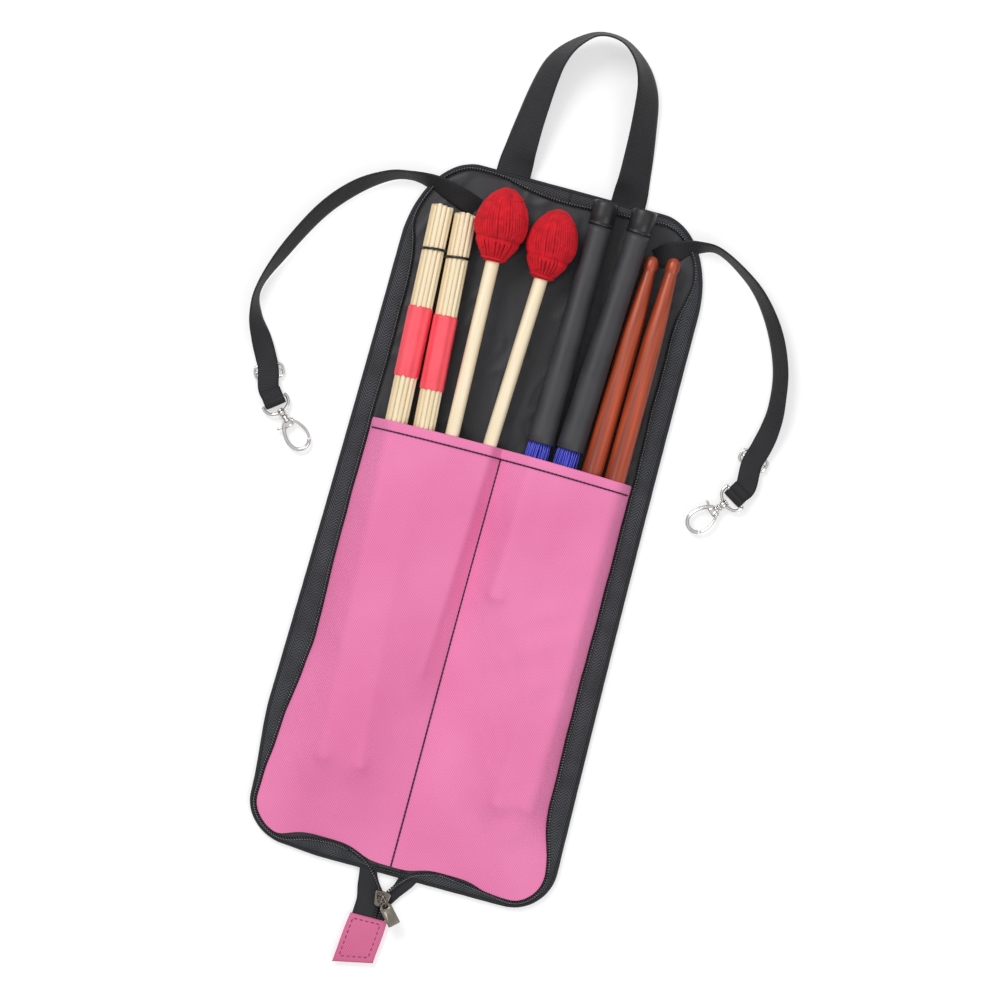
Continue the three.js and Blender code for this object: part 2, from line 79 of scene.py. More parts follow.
TOP_HALF_WIDTH = 110
TOP_CORNER = (43, 65)
BOTTOM_CORNER = 32
EDGE_SPACING = 2.5

# ---- materials ----------------------------------------------------------------------------------


class Nodes:
    """Builds one procedural material, a step at a time."""

    def __init__(self, name, roughness=0.6, metallic=0.0):
        self.material = bpy.data.materials.new(name)
        self.material.use_nodes = True
        self.tree = self.material.node_tree
        self.shader = self.tree.nodes["Principled BSDF"]
        self.shader.inputs["Roughness"].default_value = roughness
        self.shader.inputs["Metallic"].default_value = metallic

    def link(self, value, socket):
        if isinstance(value, bpy.types.NodeSocket):
            self.tree.links.new(value, socket)
        else:
            socket.default_value = value

    def math(self, operation, a, b=0.0, c=0.0):
        node = self.tree.nodes.new("ShaderNodeMath")
        node.operation = operation
        for value, socket in zip((a, b, c), node.inputs):
            self.link(value, socket)
        return node.outputs[0]

    def plus(self, a, b):
        return self.math("ADD", a, b)

    def times(self, a, b):
        return self.math("MULTIPLY", a, b)

    def uv(self):
        """U and V of the piece, in mm."""
        source = self.tree.nodes.new("ShaderNodeUVMap")
        split = self.tree.nodes.new("ShaderNodeSeparateXYZ")
        self.tree.links.new(source.outputs[0], split.inputs[0])
        return split.outputs[0], split.outputs[1]

    def place(self, scale):
        source = self.tree.nodes.new("ShaderNodeTexCoord")
        mapping = self.tree.nodes.new("ShaderNodeMapping")
        mapping.inputs["Scale"].default_value = scale
        self.tree.links.new(source.outputs["Object"], mapping.inputs[0])
        return mapping.outputs[0]

    def noise(self, scale, detail=3.0, distortion=0.0, stretch=(1, 1, 1)):
        """Noise in the piece's own frame, drawn out along the axes where stretch is below 1."""
        vector = self.place(stretch)
        node = self.tree.nodes.new("ShaderNodeTexNoise")
        self.tree.links.new(vector, node.inputs["Vector"])
        node.inputs["Scale"].default_value = scale
        node.inputs["Detail"].default_value = detail
        node.inputs["Distortion"].default_value = distortion
        return node.outputs["Fac"]

    def mix(self, factor, a, b):
        node = self.tree.nodes.new("ShaderNodeMix")
        node.data_type = "RGBA"
        self.link(factor, node.inputs["Factor"])
        self.link(a, node.inputs[6])
        self.link(b, node.inputs[7])
        return node.outputs[2]

    def spread(self, value, low, high, out_low=0.0, out_high=1.0):
        node = self.tree.nodes.new("ShaderNodeMapRange")
        self.link(value, node.inputs["Value"])
        for key, number in zip(("From Min", "From Max", "To Min", "To Max"), (low, high, out_low, out_high)):
            node.inputs[key].default_value = number
        return node.outputs[0]

    def wave(self, value, pitch):
        """0 to 1 and back, once per pitch."""
        turns = self.math("MULTIPLY", value, 2 * math.pi / pitch)
        return self.math("MULTIPLY_ADD", self.math("SINE", turns), 0.5, 0.5)

    def color(self, value):
        self.link(value, self.shader.inputs["Base Color"])

    def rough(self, value):
        self.link(value, self.shader.inputs["Roughness"])

    def bump(self, height, depth, strength=1.0, below=None):
        node = self.tree.nodes.new("ShaderNodeBump")
        node.inputs["Strength"].default_value = strength
        node.inputs["Distance"].default_value = depth * MM
        self.link(height, node.inputs["Height"])
        if below is not None:
            self.tree.links.new(below, node.inputs["Normal"])
        self.tree.links.new(node.outputs[0], self.shader.inputs["Normal"])
        return node.outputs[0]

    def sheen(self, weight, tint=(1, 1, 1, 1)):
        self.shader.inputs["Sheen Weight"].default_value = weight
        self.shader.inputs["Sheen Tint"].default_value = tint
        self.shader.inputs["Sheen Roughness"].default_value = 0.4


def srgb(r, g, b):
    """An 8-bit screen colour as the linear colour that the shaders use."""
    channels = [c / 255 for c in (r, g, b)]
    return tuple(c / 12.92 if c <= 0.04045 else ((c + 0.055) / 1.055) ** 2.4 for c in channels) + (1,)


def twill(name, dark, light, pitch, roughness=0.75, sheen=0.15):
    """Woven cloth with a fine diagonal and soft patches of tone."""
    m = Nodes(name, roughness)
    u, v = m.uv()
    diagonal = m.wave(m.plus(u, v), pitch)
    threads = m.times(m.wave(u, pitch * 0.7), m.wave(v, pitch * 0.7))
    cloud = m.noise(12, 2)
    tone = m.plus(m.times(diagonal, 0.4), m.spread(cloud, 0.3, 0.7, 0.22, 0.5))
    m.color(m.mix(tone, dark, light))
    m.bump(m.plus(diagonal, m.times(threads, 0.6)), 0.12, 0.6)
    m.sheen(sheen)
    return m.material


def herringbone(name, dark, light, column, pitch):
    """Zip tape: columns of chevrons that run along V."""
    m = Nodes(name, 0.7)
    u, v = m.uv()
    folded = m.math("PINGPONG", u, column)
    rib = m.wave(m.plus(v, m.times(folded, 1.1)), pitch)
    cloud = m.noise(60, 4)
    tone = m.times(m.math("POWER", rib, 1.8), m.spread(cloud, 0.3, 0.7, 0.4, 1.0))
    m.color(m.mix(tone, dark, light))
    m.bump(rib, 0.25, 0.8)
    m.sheen(0.1)
    return m.material


def ribbed_webbing(name, dark, light, pitch):
    """Webbing: fine ribs across it, crossed by the run of its warp."""
    m = Nodes(name, 0.7)
    u, v = m.uv()
    rib = m.wave(v, pitch)
    warp = m.wave(m.plus(u, m.times(m.wave(v, pitch * 2), 0.3)), pitch * 0.8)
    cloud = m.noise(45, 3)
    tone = m.times(m.plus(m.times(rib, 0.6), m.times(warp, 0.4)),
                  m.spread(cloud, 0.3, 0.7, 0.4, 1.0))
    m.color(m.mix(tone, dark, light))
    m.bump(m.plus(rib, warp), 0.16, 0.7)
    m.sheen(0.1)
    return m.material


def nylon(name, dark, light, roughness):
    """Smooth lining cloth with a soft sheen and faint creases."""
    m = Nodes(name, roughness)
    u, v = m.uv()
    cloud = m.noise(14, 4, 0.6)
    m.color(m.mix(m.spread(cloud, 0.3, 0.7), dark, light))
    m.rough(m.spread(cloud, 0.3, 0.7, roughness - 0.06, roughness + 0.1))
    grid = m.plus(m.wave(u, 0.5), m.wave(v, 0.5))
    creases = m.bump(m.noise(55, 5, 1.0, (1, 0.35, 1)), 0.5, 0.35)
    m.bump(grid, 0.04, 0.35, below=creases)
    m.sheen(0.35, (0.75, 0.78, 0.9, 1))
    return m.material


def grain(name, dark, light, along, roughness, fine=900, coat=0.0):
    """Wood: streaks along one axis of the stick, with pores."""
    m = Nodes(name, roughness)
    stretch = [1.0, 1.0, 1.0]
    stretch[along] = 0.035
    streak = m.noise(fine * 0.3, 5, 1.2, stretch)
    pores = m.noise(fine, 3, 0.0, stretch)
    m.color(m.mix(m.spread(m.plus(streak, m.times(pores, 0.5)), 0.5, 1.0), dark, light))
    m.rough(m.spread(pores, 0.3, 0.7, roughness - 0.07, roughness + 0.1))
    m.bump(pores, 0.06, 0.5)
    m.shader.inputs["Coat Weight"].default_value = coat
    m.shader.inputs["Coat Roughness"].default_value = 0.25
    return m.material


def metal(name, color, roughness, scratch=0.3):
    """Plated metal: uneven polish, fine wear, and painted shade: dark rims painted into the colour where the
    surface turns from the view, as a bright part shows on a pale table.
    """
    m = Nodes(name, roughness, 1.0)
    cloud = m.noise(120, 3, 0.4)
    darker = tuple(c * 0.84 for c in color[:3]) + (1,)
    rim = m.tree.nodes.new("ShaderNodeLayerWeight")
    rim.inputs["Blend"].default_value = 0.5
    plating = m.mix(m.spread(cloud, 0.35, 0.7), darker, color)
    painted_rim_shade = tuple(c * 0.16 for c in color[:3]) + (1,)
    # Painted shade: the facing weight darkens the colour towards the rims, where the surface turns away from
    # the view.
    m.color(m.mix(m.spread(rim.outputs["Facing"], 0.5, 0.95), plating, painted_rim_shade))
    m.rough(m.spread(cloud, 0.3, 0.7, roughness * 0.8, roughness * 1.25))
    m.bump(m.noise(900, 3), 0.02, scratch)
    return m.material


def rubber(name, color, roughness):
    """Moulded rubber or plastic with a fine matt texture and soft wear."""
    m = Nodes(name, roughness)
    cloud = m.noise(40, 4)
    lighter = tuple(min(1, c * 1.35 + 0.004) for c in color[:3]) + (1,)
    m.color(m.mix(m.spread(cloud, 0.35, 0.7), color, lighter))
    m.rough(m.spread(cloud, 0.3, 0.7, roughness - 0.08, roughness + 0.1))
    m.bump(m.noise(2000, 3), 0.05, 0.5)
    return m.material


def bundle_wood(name, dark, light, roughness):
    """Peeled bamboo: each dowel of the bundle has its own tone, from the whole tens in its U."""
    m = Nodes(name, roughness)
    u, _ = m.uv()
    white = m.tree.nodes.new("ShaderNodeTexWhiteNoise")
    white.noise_dimensions = "1D"
    m.link(m.math("FLOOR", m.math("DIVIDE", u, 20.0)), white.inputs["W"])
    streak = m.noise(420, 5, 1.0, (1.0, 0.03, 1.0))
    tone = m.plus(m.times(white.outputs["Value"], 0.45), m.times(streak, 0.6))
    m.color(m.mix(m.spread(tone, 0.2, 0.85), dark, light))
    m.bump(streak, 0.08, 0.6)
    return m.material


def strand(name, dark, light, roughness=0.85):
    """Spun yarn or thread: a twisted, slightly hairy strand."""
    m = Nodes(name, roughness)
    cloud = m.noise(150, 4, 1.0)
    hair = m.noise(1500, 3)
    m.color(m.mix(m.spread(m.plus(cloud, m.times(hair, 0.5)), 0.5, 1.0), dark, light))
    m.bump(hair, 0.2, 0.8)
    m.sheen(0.5, light)
    return m.material


CLOTH_BLACK = twill("black_cloth", srgb(22, 22, 25), srgb(48, 48, 53), 1.0, 0.8, 0.1)
LINING = nylon("black_lining", srgb(26, 26, 30), srgb(44, 44, 50), 0.42)
PINK = twill("pink_cloth", srgb(208, 88, 142), srgb(242, 142, 190), 1.9)
PINK_TAB = twill("pink_tab_cloth", srgb(182, 70, 112), srgb(224, 118, 160), 1.9)
TAPE = herringbone("zip_tape_cloth", srgb(12, 13, 16), srgb(78, 80, 88), 4.4, 2.3)
TAPE_PLAIN = twill("zip_tape_edge", srgb(12, 13, 16), srgb(36, 37, 42), 1.2, 0.75, 0.03)
WEBBING = ribbed_webbing("webbing_cloth", srgb(5, 5, 7), srgb(34, 33, 39), 1.7)
TEETH = rubber("zip_coil", srgb(30, 31, 35), 0.3)
COIL_THREAD = strand("coil_thread", srgb(84, 84, 88), srgb(150, 150, 154))
BLACK_THREAD = strand("black_thread", srgb(28, 22, 30), srgb(60, 48, 60))
SEAM_THREAD = strand("seam_thread", srgb(38, 14, 34), srgb(76, 30, 62))
TAB_THREAD = strand("tab_thread", srgb(112, 50, 88), srgb(140, 74, 112))
NICKEL = metal("bright_nickel", (0.78, 0.77, 0.75, 1), 0.14, 0.15)
ANTIQUE = metal("dark_nickel", (0.27, 0.245, 0.205, 1), 0.24, 0.15)
BAMBOO_BUNDLE = bundle_wood("bamboo_bundle", srgb(208, 176, 122), srgb(255, 246, 220), 0.5)
BIRCH = grain("birch", srgb(226, 202, 160), srgb(248, 234, 206), 1, 0.42, 600, 0.2)
ROSEWOOD = grain("rosewood", srgb(76, 20, 10), srgb(186, 76, 39), 1, 0.38, 420, 0.15)
RED_GRIP = rubber("red_sleeve", srgb(228, 74, 86), 0.5)
BAND_RUBBER = rubber("band_rubber", srgb(22, 22, 24), 0.4)
TUBE_RUBBER = rubber("brush_tube_rubber", srgb(46, 46, 50), 0.5)
CAP_RUBBER = rubber("brush_cap_rubber", srgb(22, 22, 25), 0.38)
BRISTLE = rubber("bristle_nylon", srgb(72, 76, 196), 0.35)
YARN = strand("wound_yarn", srgb(168, 2, 20), srgb(226, 16, 38), 0.9)

# ---- mesh tools ---------------------------------------------------------------------------------


def new_piece(name, vertices, faces, material, uvs=None):
    """A mesh object from mm vertices; uvs holds one pair per vertex, in mm."""
    data = bpy.data.meshes.new(name)
    data.from_pydata((np.asarray(vertices, float) * MM).tolist(), [], [tuple(map(int, f)) for f in faces])
    if uvs is not None:
        layer = data.uv_layers.new(name="UVMap")
        corner = np.zeros(len(data.loops), np.int32)
        data.loops.foreach_get("vertex_index", corner)
        layer.data.foreach_set("uv", np.asarray(uvs, np.float32)[corner].ravel())
    data.materials.append(material)
    data.polygons.foreach_set("use_smooth", [True] * len(data.polygons))
    data.update()
    piece = bpy.data.objects.new(name, data)
    bpy.context.scene.collection.objects.link(piece)
    return piece


def dress(piece, slot, *nodes, body=None):
    """Hides the CAD nodes that a piece stands for and, where it is rigid, attaches it to its body; slot is
    not used.
    """
    if nodes:
        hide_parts(*nodes)
    if body:
        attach(piece, body)


def unit(vectors):
    """Vectors, one per row, cut to length 1."""
    return vectors / np.linalg.norm(vectors, axis=-1, keepdims=True)


def upright(count):
    """The direction up, once for each point of a path."""
    return np.tile([0, 0, 1.0], (count, 1))


def turns(count):
    """Angles that share out a full turn."""
    return np.arange(count) * 2 * math.pi / count


def distance_along(points):
    """Distance along a polyline to each of its points."""
    return np.concatenate([[0], np.cumsum(np.linalg.norm(np.diff(points, axis=0), axis=1))])


def grid_faces(rows, columns, start=0, flip=False, close=False):
    """Quads of a grid of vertices stored row by row."""
    across = np.arange(columns if close else columns - 1)
    row, column = np.meshgrid(np.arange(rows - 1), across, indexing="ij")
    after = (column + 1) % columns
    a = start + row * columns + column
    b = start + row * columns + after
    c = start + (row + 1) * columns + after
    d = start + (row + 1) * columns + column
    quads = np.stack([a, b, c, d], axis=-1).reshape(-1, 4)
    return quads[:, ::-1] if flip else quads


def tube_faces(rows, sides):
    """Faces of a row of rings, closed at both ends."""
    last = (rows - 1) * sides
    ends = [tuple(range(sides))[::-1], tuple(range(last, last + sides))]
    return [*grid_faces(rows, sides, close=True), *ends]


def slab(name, top, bottom, material, uvs):
    """A closed sheet between two grids of points, each rows x columns x 3."""
    rows, columns, _ = top.shape
    count = rows * columns
    vertices = np.concatenate([top.reshape(-1, 3), bottom.reshape(-1, 3)])
    faces = [*grid_faces(rows, columns), *grid_faces(rows, columns, count, flip=True)]
    last = (rows - 1) * columns
    rim = [*range(columns), *range(2 * columns - 1, last + columns, columns)]
    rim += [*range(last + columns - 2, last - 1, -1), *range(last - columns, 0, -columns)]
    for here, after in zip(rim, rim[1:] + rim[:1]):
        faces.append((after, here, here + count, after + count))
    flat = uvs.reshape(-1, 2)
    return new_piece(name, vertices, faces, material, np.concatenate([flat, flat]))


def sweep(path, section, sides=None, ups=None, closed=False):
    """Vertices and faces of a section swept along a path.

    section holds (side, up) pairs, for the whole path or for each station. sides and ups are the frame
    at each station, and are worked out when left out.
    """
    path = np.asarray(path, float)
    count = len(path)
    if sides is None:
        ahead = np.roll(path, -1, 0) - np.roll(path, 1, 0)
        if not closed:
            ahead[0], ahead[-1] = path[1] - path[0], path[-1] - path[-2]
        ahead = unit(ahead)
        guide = np.array([0, 0, 1.0]) if abs(ahead[0][2]) < 0.9 else np.array([1.0, 0, 0])
        sides, ups = [], []
        for direction in ahead:
            side = np.cross(direction, guide)
            side /= np.linalg.norm(side)
            guide = np.cross(side, direction)
            sides.append(side)
            ups.append(guide)
    section = np.asarray(section, float)
    if section.ndim == 2:
        section = np.repeat(section[None], count, axis=0)
    across, above = np.asarray(sides)[:, None], np.asarray(ups)[:, None]
    rings = path[:, None] + section[:, :, :1] * across + section[:, :, 1:] * above
    around = section.shape[1]
    if closed:
        last = (count - 1) * around
        faces = list(grid_faces(count, around, close=True))
        faces += [(last + k, last + (k + 1) % around, (k + 1) % around, k) for k in range(around)]
    else:
        faces = tube_faces(count, around)
    return rings.reshape(-1, 3), faces


def circle(radius, sides, squash=1.0):
    """Section points for a sweep; squash flattens the circle."""
    angles = turns(sides)
    return np.stack([radius * np.cos(angles), radius * squash * np.sin(angles)], axis=1)


def gather(parts):
    """One vertex array and face list from many (vertices, faces) parts."""
    vertices, faces, start = [], [], 0
    for part_vertices, part_faces in parts:
        vertices.append(np.asarray(part_vertices, float))
        faces += [tuple(int(i) + start for i in face) for face in part_faces]
        start += len(part_vertices)
    return np.concatenate(vertices), faces


def smooth_path(points, count):
    """A Catmull-Rom curve through control points of any dimension."""
    p = np.asarray(points, float)
    p = np.concatenate([[2 * p[0] - p[1]], p, [2 * p[-1] - p[-2]]])
    t = np.linspace(0, len(points) - 1 - 1e-9, count)
    k = t.astype(int)
    f = (t - k)[:, None]
    a, b, c, d = p[k], p[k + 1], p[k + 2], p[k + 3]
    return 0.5 * (2 * b + (c - a) * f + (2 * a - 5 * b + 4 * c - d) * f**2 + (3 * b - a - 3 * c + d) * f**3)


def even(points, spacing):
    """The same polyline with points an even distance apart, and the distance along it."""
    points = np.asarray(points, float)
    length = distance_along(points)
    steps = max(2, int(round(length[-1] / spacing)) + 1)
    wanted = np.linspace(0, length[-1], steps)
    return np.stack([np.interp(wanted, length, axis) for axis in points.T], axis=1), wanted


def wobble(x, y, z, scale, seed):
    """Smooth noise between about -1 and 1; scale is the size of its waves in mm."""
    return noise.noise(Vector((x / scale + seed * 17.3, y / scale - seed * 5.1, z / scale)))


def wobble_field(x, y, scale_x, scale_y, seed):
    """The same noise over a grid of points."""
    flat = [noise.noise(Vector((a / scale_x + seed * 17.3, b / scale_y - seed * 5.1, seed)))
            for a, b in zip(x.ravel(), y.ravel())]
    return np.array(flat).reshape(x.shape)


def ease(value, low, high):
    """0 below low, 1 above high, smooth between."""
    t = np.clip((value - low) / (high - low), 0, 1)
    return t * t * (3 - 2 * t)


def stitches(name, path, ups, pitch, length, width, material):
    """A row of thread stitches along a path; ups is the surface normal there."""
    points, _ = even(np.concatenate([path, ups], axis=1), pitch)
    parts = []
    for here, after in zip(points[:-1], points[1:]):
        start, end, up = here[:3], after[:3], here[3:]
        up = up / np.linalg.norm(up)
        ahead = (end - start) / np.linalg.norm(end - start)
        side = np.cross(ahead, up)
        middle = (start + end) / 2
        share = np.array([-0.5, -0.32, 0, 0.32, 0.5])
        line = middle + np.outer(share * length, ahead) + np.outer([-0.35, 0, 0.12, 0, -0.35], up * width)
        sizes = [0.35, 0.85, 1.0, 0.85, 0.35]
        section = [circle(width / 2 * size, 6, 0.8) for size in sizes]
        parts.append(sweep(line, section, np.repeat(side[None], 5, 0), np.repeat(up[None], 5, 0)))
    return new_piece(name, *gather(parts), material)


# ---- outline of the bag -------------------------------------------------------------------------


def half_outline():
    """Even points of the right half's edge, from the middle of the top round to the middle of the bottom."""
    corner_x, corner_y = TOP_HALF_WIDTH - TOP_CORNER[0], TOP_Y - TOP_CORNER[1]
    low_x, low_y = BOTTOM_HALF_WIDTH - BOTTOM_CORNER, BOTTOM_Y + BOTTOM_CORNER
    angle = np.linspace(math.pi / 2, 0, 60)[:, None]
    upper = np.hstack([corner_x + TOP_CORNER[0] * np.cos(angle), corner_y + TOP_CORNER[1] * np.sin(angle)])
    t = np.linspace(0, 1, 80)[1:-1, None]
    start, control = np.array([TOP_HALF_WIDTH, corner_y]), np.array([TOP_HALF_WIDTH + 1, 0])
    end = np.array([BOTTOM_HALF_WIDTH, low_y])
    side = (1 - t) ** 2 * start + 2 * t * (1 - t) * control + t**2 * end
    angle = np.linspace(0, -math.pi / 2, 40)[:, None]
    lower = np.hstack([low_x + BOTTOM_CORNER * np.cos(angle), low_y + BOTTOM_CORNER * np.sin(angle)])
    return even(np.concatenate([[[0, TOP_Y]], upper, side, lower, [[0, BOTTOM_Y]]]), EDGE_SPACING)


EDGE, EDGE_AT = half_outline()


def left_edge():
    """The left half's edge, with its sign of X turned: the zip draws its lower corner in."""
    edge = EDGE.copy()
    edge[:, 0] -= 6.5 * ease(-EDGE[:, 1], 150, 228) * ease(EDGE[:, 0], 55, 100)
    edge[:, 1] += 2.6 * ease(EDGE[:, 0], 45, 95) * ease(-EDGE[:, 1], 215, 250)
    return edge


def edge_inwards(edge):
    """Inward direction at each point of a half's edge."""
    ahead = unit(np.gradient(edge, axis=0))
    return np.stack([ahead[:, 1], -ahead[:, 0]], axis=1)


EDGES = {1: EDGE, -1: left_edge()}
INWARD = {side: edge_inwards(edge) for side, edge in EDGES.items()}

# Where the zip's teeth run on each half: distance along the edge from the middle of the top, and inset
TEETH_RUN = {
    1: [
        (0, 10.7), (25, 10), (62, 8), (114, 4.8), (156, 13.5), (195, 15), (290, 14.2), (480, 15.8),
        (525, 15.2), (556, 8), (590, 4.4), (612, 4.2), (650, 9), (668, 9.6), (682, 4.2), (700, 4),
    ],
    -1: [
        (0, 10.7), (14, 10.4), (36, 7.2), (58, 3.6), (130, 4), (153, 9.5), (190, 13.4), (340, 14.4),
        (426, 17), (458, 17), (519, 10), (550, 4.4), (608, 3.6), (631, 9), (649, 11.8), (663, 11),
        (681, 4.2), (700, 4),
    ],
}
TEETH_LEAST_INSET = 3.4


def teeth_inset(points, side):
    """Inset of the teeth at edge points, with the slow waver of a sewn tape."""
    run = smooth_path(TEETH_RUN[side], 400)
    base = np.interp(EDGE_AT, run[:, 0], run[:, 1])
    waver = [wobble(side * x, y, 0, 38, 3) + 0.5 * wobble(side * x, y, 0, 17, 4) for x, y in points]
    return np.maximum(base + 0.7 * np.array(waver), TEETH_LEAST_INSET)


def ring(inset):
    """The whole edge as a closed loop, moved in by inset: a number, or a function of points and side."""
    loops = []
    for side in (1, -1):
        distance = inset(EDGES[side], side) if callable(inset) else np.full(len(EDGE), float(inset))
        half = EDGES[side] + INWARD[side] * distance[:, None]
        half[:, 0] *= side
        loops.append(half if side > 0 else half[::-1])
    return np.concatenate([loops[0], loops[1][1:-1]])


def ring_frame(loop):
    """Inward direction at each point of a closed loop that runs clockwise, seen from above."""
    ahead = unit(np.roll(loop, -1, 0) - np.roll(loop, 1, 0))
    return np.stack([ahead[:, 1], -ahead[:, 0]], axis=1)


def sheet_rows(inset, top, columns):
    """Points of a sheet that fills the outline below the height top: rows x columns of x and y."""
    low_x = BOTTOM_HALF_WIDTH - BOTTOM_CORNER
    keep = [i for i in range(len(EDGE)) if EDGE[i, 0] >= TOP_HALF_WIDTH - TOP_CORNER[0] - 1]
    keep = [i for i in keep if EDGE[i, 1] > BOTTOM_Y + 0.01 or EDGE[i, 0] >= low_x]
    moved = [EDGES[side] + INWARD[side] * inset(EDGES[side], side)[:, None] for side in (1, -1)]
    right, left = moved[0][keep], moved[1][keep]
    left[:, 0] *= -1
    inside = (right[:, 1] <= top) & (left[:, 1] <= top)
    right, left = right[inside], left[inside]
    if inside[0]:
        right[0, 1] = left[0, 1] = min(right[0, 1], left[0, 1])
    t = np.linspace(0, 1, columns)[None, :, None]
    return left[:, None] * (1 - t) + right[:, None] * t


def bend(piece, start=(-18, 0, 0), end=(12, 0, 0), bodies=("half_left", "half_right")):
    """Bakes a piece's place into its mesh and does not bend it; start, end and bodies are not used."""
    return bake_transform(piece)


# ---- cover, binding and lining ------------------------------------------------------------------


def cover():
    """Padded back cover: one cloth under both halves, a little hollow where it is sewn."""
    rows = sheet_rows(lambda points, side: np.full(len(points), 1.6), TOP_Y + 1, 91)
    x, y = rows[..., 0], rows[..., 1]
    reach = np.minimum(np.minimum(x - x.min(1, keepdims=True), x.max(1, keepdims=True) - x), y.max() - y)
    reach = np.minimum(reach, y - y.min())
    puff = ease(reach, 3, 22)
    under = 0.9 - 0.75 * puff + 0.15 * wobble_field(x, y, 34, 46, 2) * puff
    top = np.dstack([x, y, np.full_like(x, 2.5)])
    piece = slab("cover_cloth", top, np.dstack([x, y, under]), CLOTH_BLACK, rows)
    bend(piece)
    dress(piece, "black_fabric", "shell_left", "shell_right", "foam_left", "foam_right")


def binding():
    """Tape folded round the raw edge of cover and lining: a soft roll all the way round."""
    centre = ring(1.75)
    inward = ring_frame(centre)
    angles = turns(14)
    profile = np.stack([1.75 * np.cos(angles), 2.0 * np.sin(angles)], axis=1)
    lumps = np.array([0.06 * wobble(x, y, 0, 6, 8) for x, y in centre])
    section = profile[None] * (1 + lumps)[:, None, None]
    path = np.column_stack([centre, 2.15 + lumps])
    sides = np.column_stack([inward, np.zeros(len(inward))])
    along = np.repeat(np.arange(len(path)) * EDGE_SPACING, len(angles))
    uvs = np.column_stack([np.tile(angles * 2, len(path)), along])
    roll = sweep(path, section, sides, upright(len(path)), closed=True)
    piece = new_piece("edge_binding", *roll, TAPE_PLAIN, uvs)
    bend(piece)
    dress(piece, "black_fabric", "binding_left", "binding_right")
    path = np.column_stack([ring(5.2), np.full(len(centre), 0.15)])
    seam = stitches("cover_seam", path, np.tile([0, 0, -1.0], (len(path), 1)), 3.2, 2.4, 0.7, BLACK_THREAD)
    bend(seam)
    dress(seam, "black_fabric")


def lining_height(x, y):
    """Soft folds in the nylon: long waves down the bag, and short creases that fade into them."""
    waves = 0.5 * wobble_field(x, y, 15, 90, 11) + 0.35 * wobble_field(x + 0.35 * y, y, 9, 42, 12)
    creases = np.abs(wobble_field(x - 0.5 * y, y, 22, 30, 13))
    return 3.0 + 0.7 * np.clip(waves + 0.35, 0, 1.2) + 0.5 * ease(0.14 - creases, 0, 0.14)


def lining():
    """Thin nylon that lines both halves, inside the binding."""
    rows = sheet_rows(lambda points, side: np.full(len(points), 3.0), TOP_Y + 1, 111)
    x, y = rows[..., 0], rows[..., 1]
    top = np.dstack([x, y, lining_height(x, y)])
    piece = slab("lining_cloth", top, top - [0, 0, 0.4], LINING, rows)
    bend(piece)
    dress(piece, "liner", "liner_left", "liner_right")


# ---- zip ----------------------------------------------------------------------------------------

TAPE_COLUMNS = 9
TEETH_Z = 5.1
TOOTH_PITCH = 1.9
TOOTH_SECTION = [
    (-1.3, 0), (-1.15, 0.7), (-0.3, 1.05), (0.7, 0.85), (1.35, 0.25), (1.35, -0.45), (-1.3, -0.45),
]


def zip_tape():
    """Herringbone tape between the binding and the teeth, with a shallow crown and slow waves."""
    outer, inner = ring(2.6), ring(teeth_inset)
    share = np.linspace(0, 1, TAPE_COLUMNS)[None, :, None]
    flat = outer[:, None] * (1 - share) + inner[:, None] * share
    x, y = flat[..., 0], flat[..., 1]
    crown = np.sin(np.pi * share[..., 0])
    z = 4.35 + 0.7 * crown + 0.45 * share[..., 0] + 0.35 * wobble_field(x, y, 14, 14, 21) * crown
    top = np.dstack([x, y, z])
    width = np.linalg.norm(inner - outer, axis=1)[:, None] * share[..., 0]
    along = np.repeat((np.arange(len(outer)) * EDGE_SPACING)[:, None], TAPE_COLUMNS, axis=1)
    wrap = list(range(len(top))) + [0]
    along = np.vstack([along, along[-1:] + EDGE_SPACING])
    uvs = np.dstack([width[wrap], along])
    top = top[wrap]
    piece = slab("zip_tape_cloth", top, top - [0, 0, 0.5], TAPE, uvs)
    bend(piece)
    dress(piece, "zip_tape", "zip_tape_left", "zip_tape_right")


def tooth_row(name, path, inward, material):
    """Moulded coil: one rounded loop after another along a path, each as wide as the coil."""
    points, _ = even(np.column_stack([path, inward]), TOOTH_PITCH)
    parts = []
    for here, after in zip(points[:-1], points[1:]):
        ahead = after[:3] - here[:3]
        ahead /= np.linalg.norm(ahead)
        across = here[3:] / np.linalg.norm(here[3:])
        up = np.cross(across, ahead)
        up *= np.sign(up[2])
        stations = here[:3] + np.outer([-0.34, 0.0, 0.34], ahead * TOOTH_PITCH)
        section = np.array(TOOTH_SECTION)[None] * np.array([0.72, 1.0, 0.72])[:, None, None]
        parts.append(sweep(stations, section, np.tile(across, (3, 1)), np.tile(up, (3, 1))))
    return new_piece(name, *gather(parts), material)


def coil_thread(name, path, inward, offset):
    """The row of fine pale stitches that holds the coil to its tape."""
    moved = path + inward * offset + [0, 0, 0.85]
    return stitches(name, moved, upright(len(moved)), TOOTH_PITCH, 1.15, 0.55, COIL_THREAD)


def rim_path(low_left, low_right):
    """The teeth's path round the rim, from the bottom of the left half over the top to the right half."""
    loop = ring(teeth_inset)
    inward = ring_frame(loop)
    at = np.column_stack([loop, np.full(len(loop), TEETH_Z), inward, np.zeros(len(loop))])
    right, left = at[:len(EDGE)], at[len(EDGE):]
    order = np.concatenate([left, right])
    lowest = BOTTOM_Y + 20
    keep = (order[:, 1] > lowest) | (order[:, 0] < low_left) | (order[:, 0] > low_right)
    return order[keep]


ARM_LEFT = [(-31, -241.9), (-22, -245.5), (-15, -250.5), (-8.2, -257.5), (-1.9, -266.5)]
ARM_RIGHT = [(33, -244.2), (25, -246), (16.5, -249.5), (8.8, -257), (1.9, -266.5)]
TAIL_HEAD_Y, TAIL_FOOT_Y = -275.5, -286
TAIL_Z = 3.0


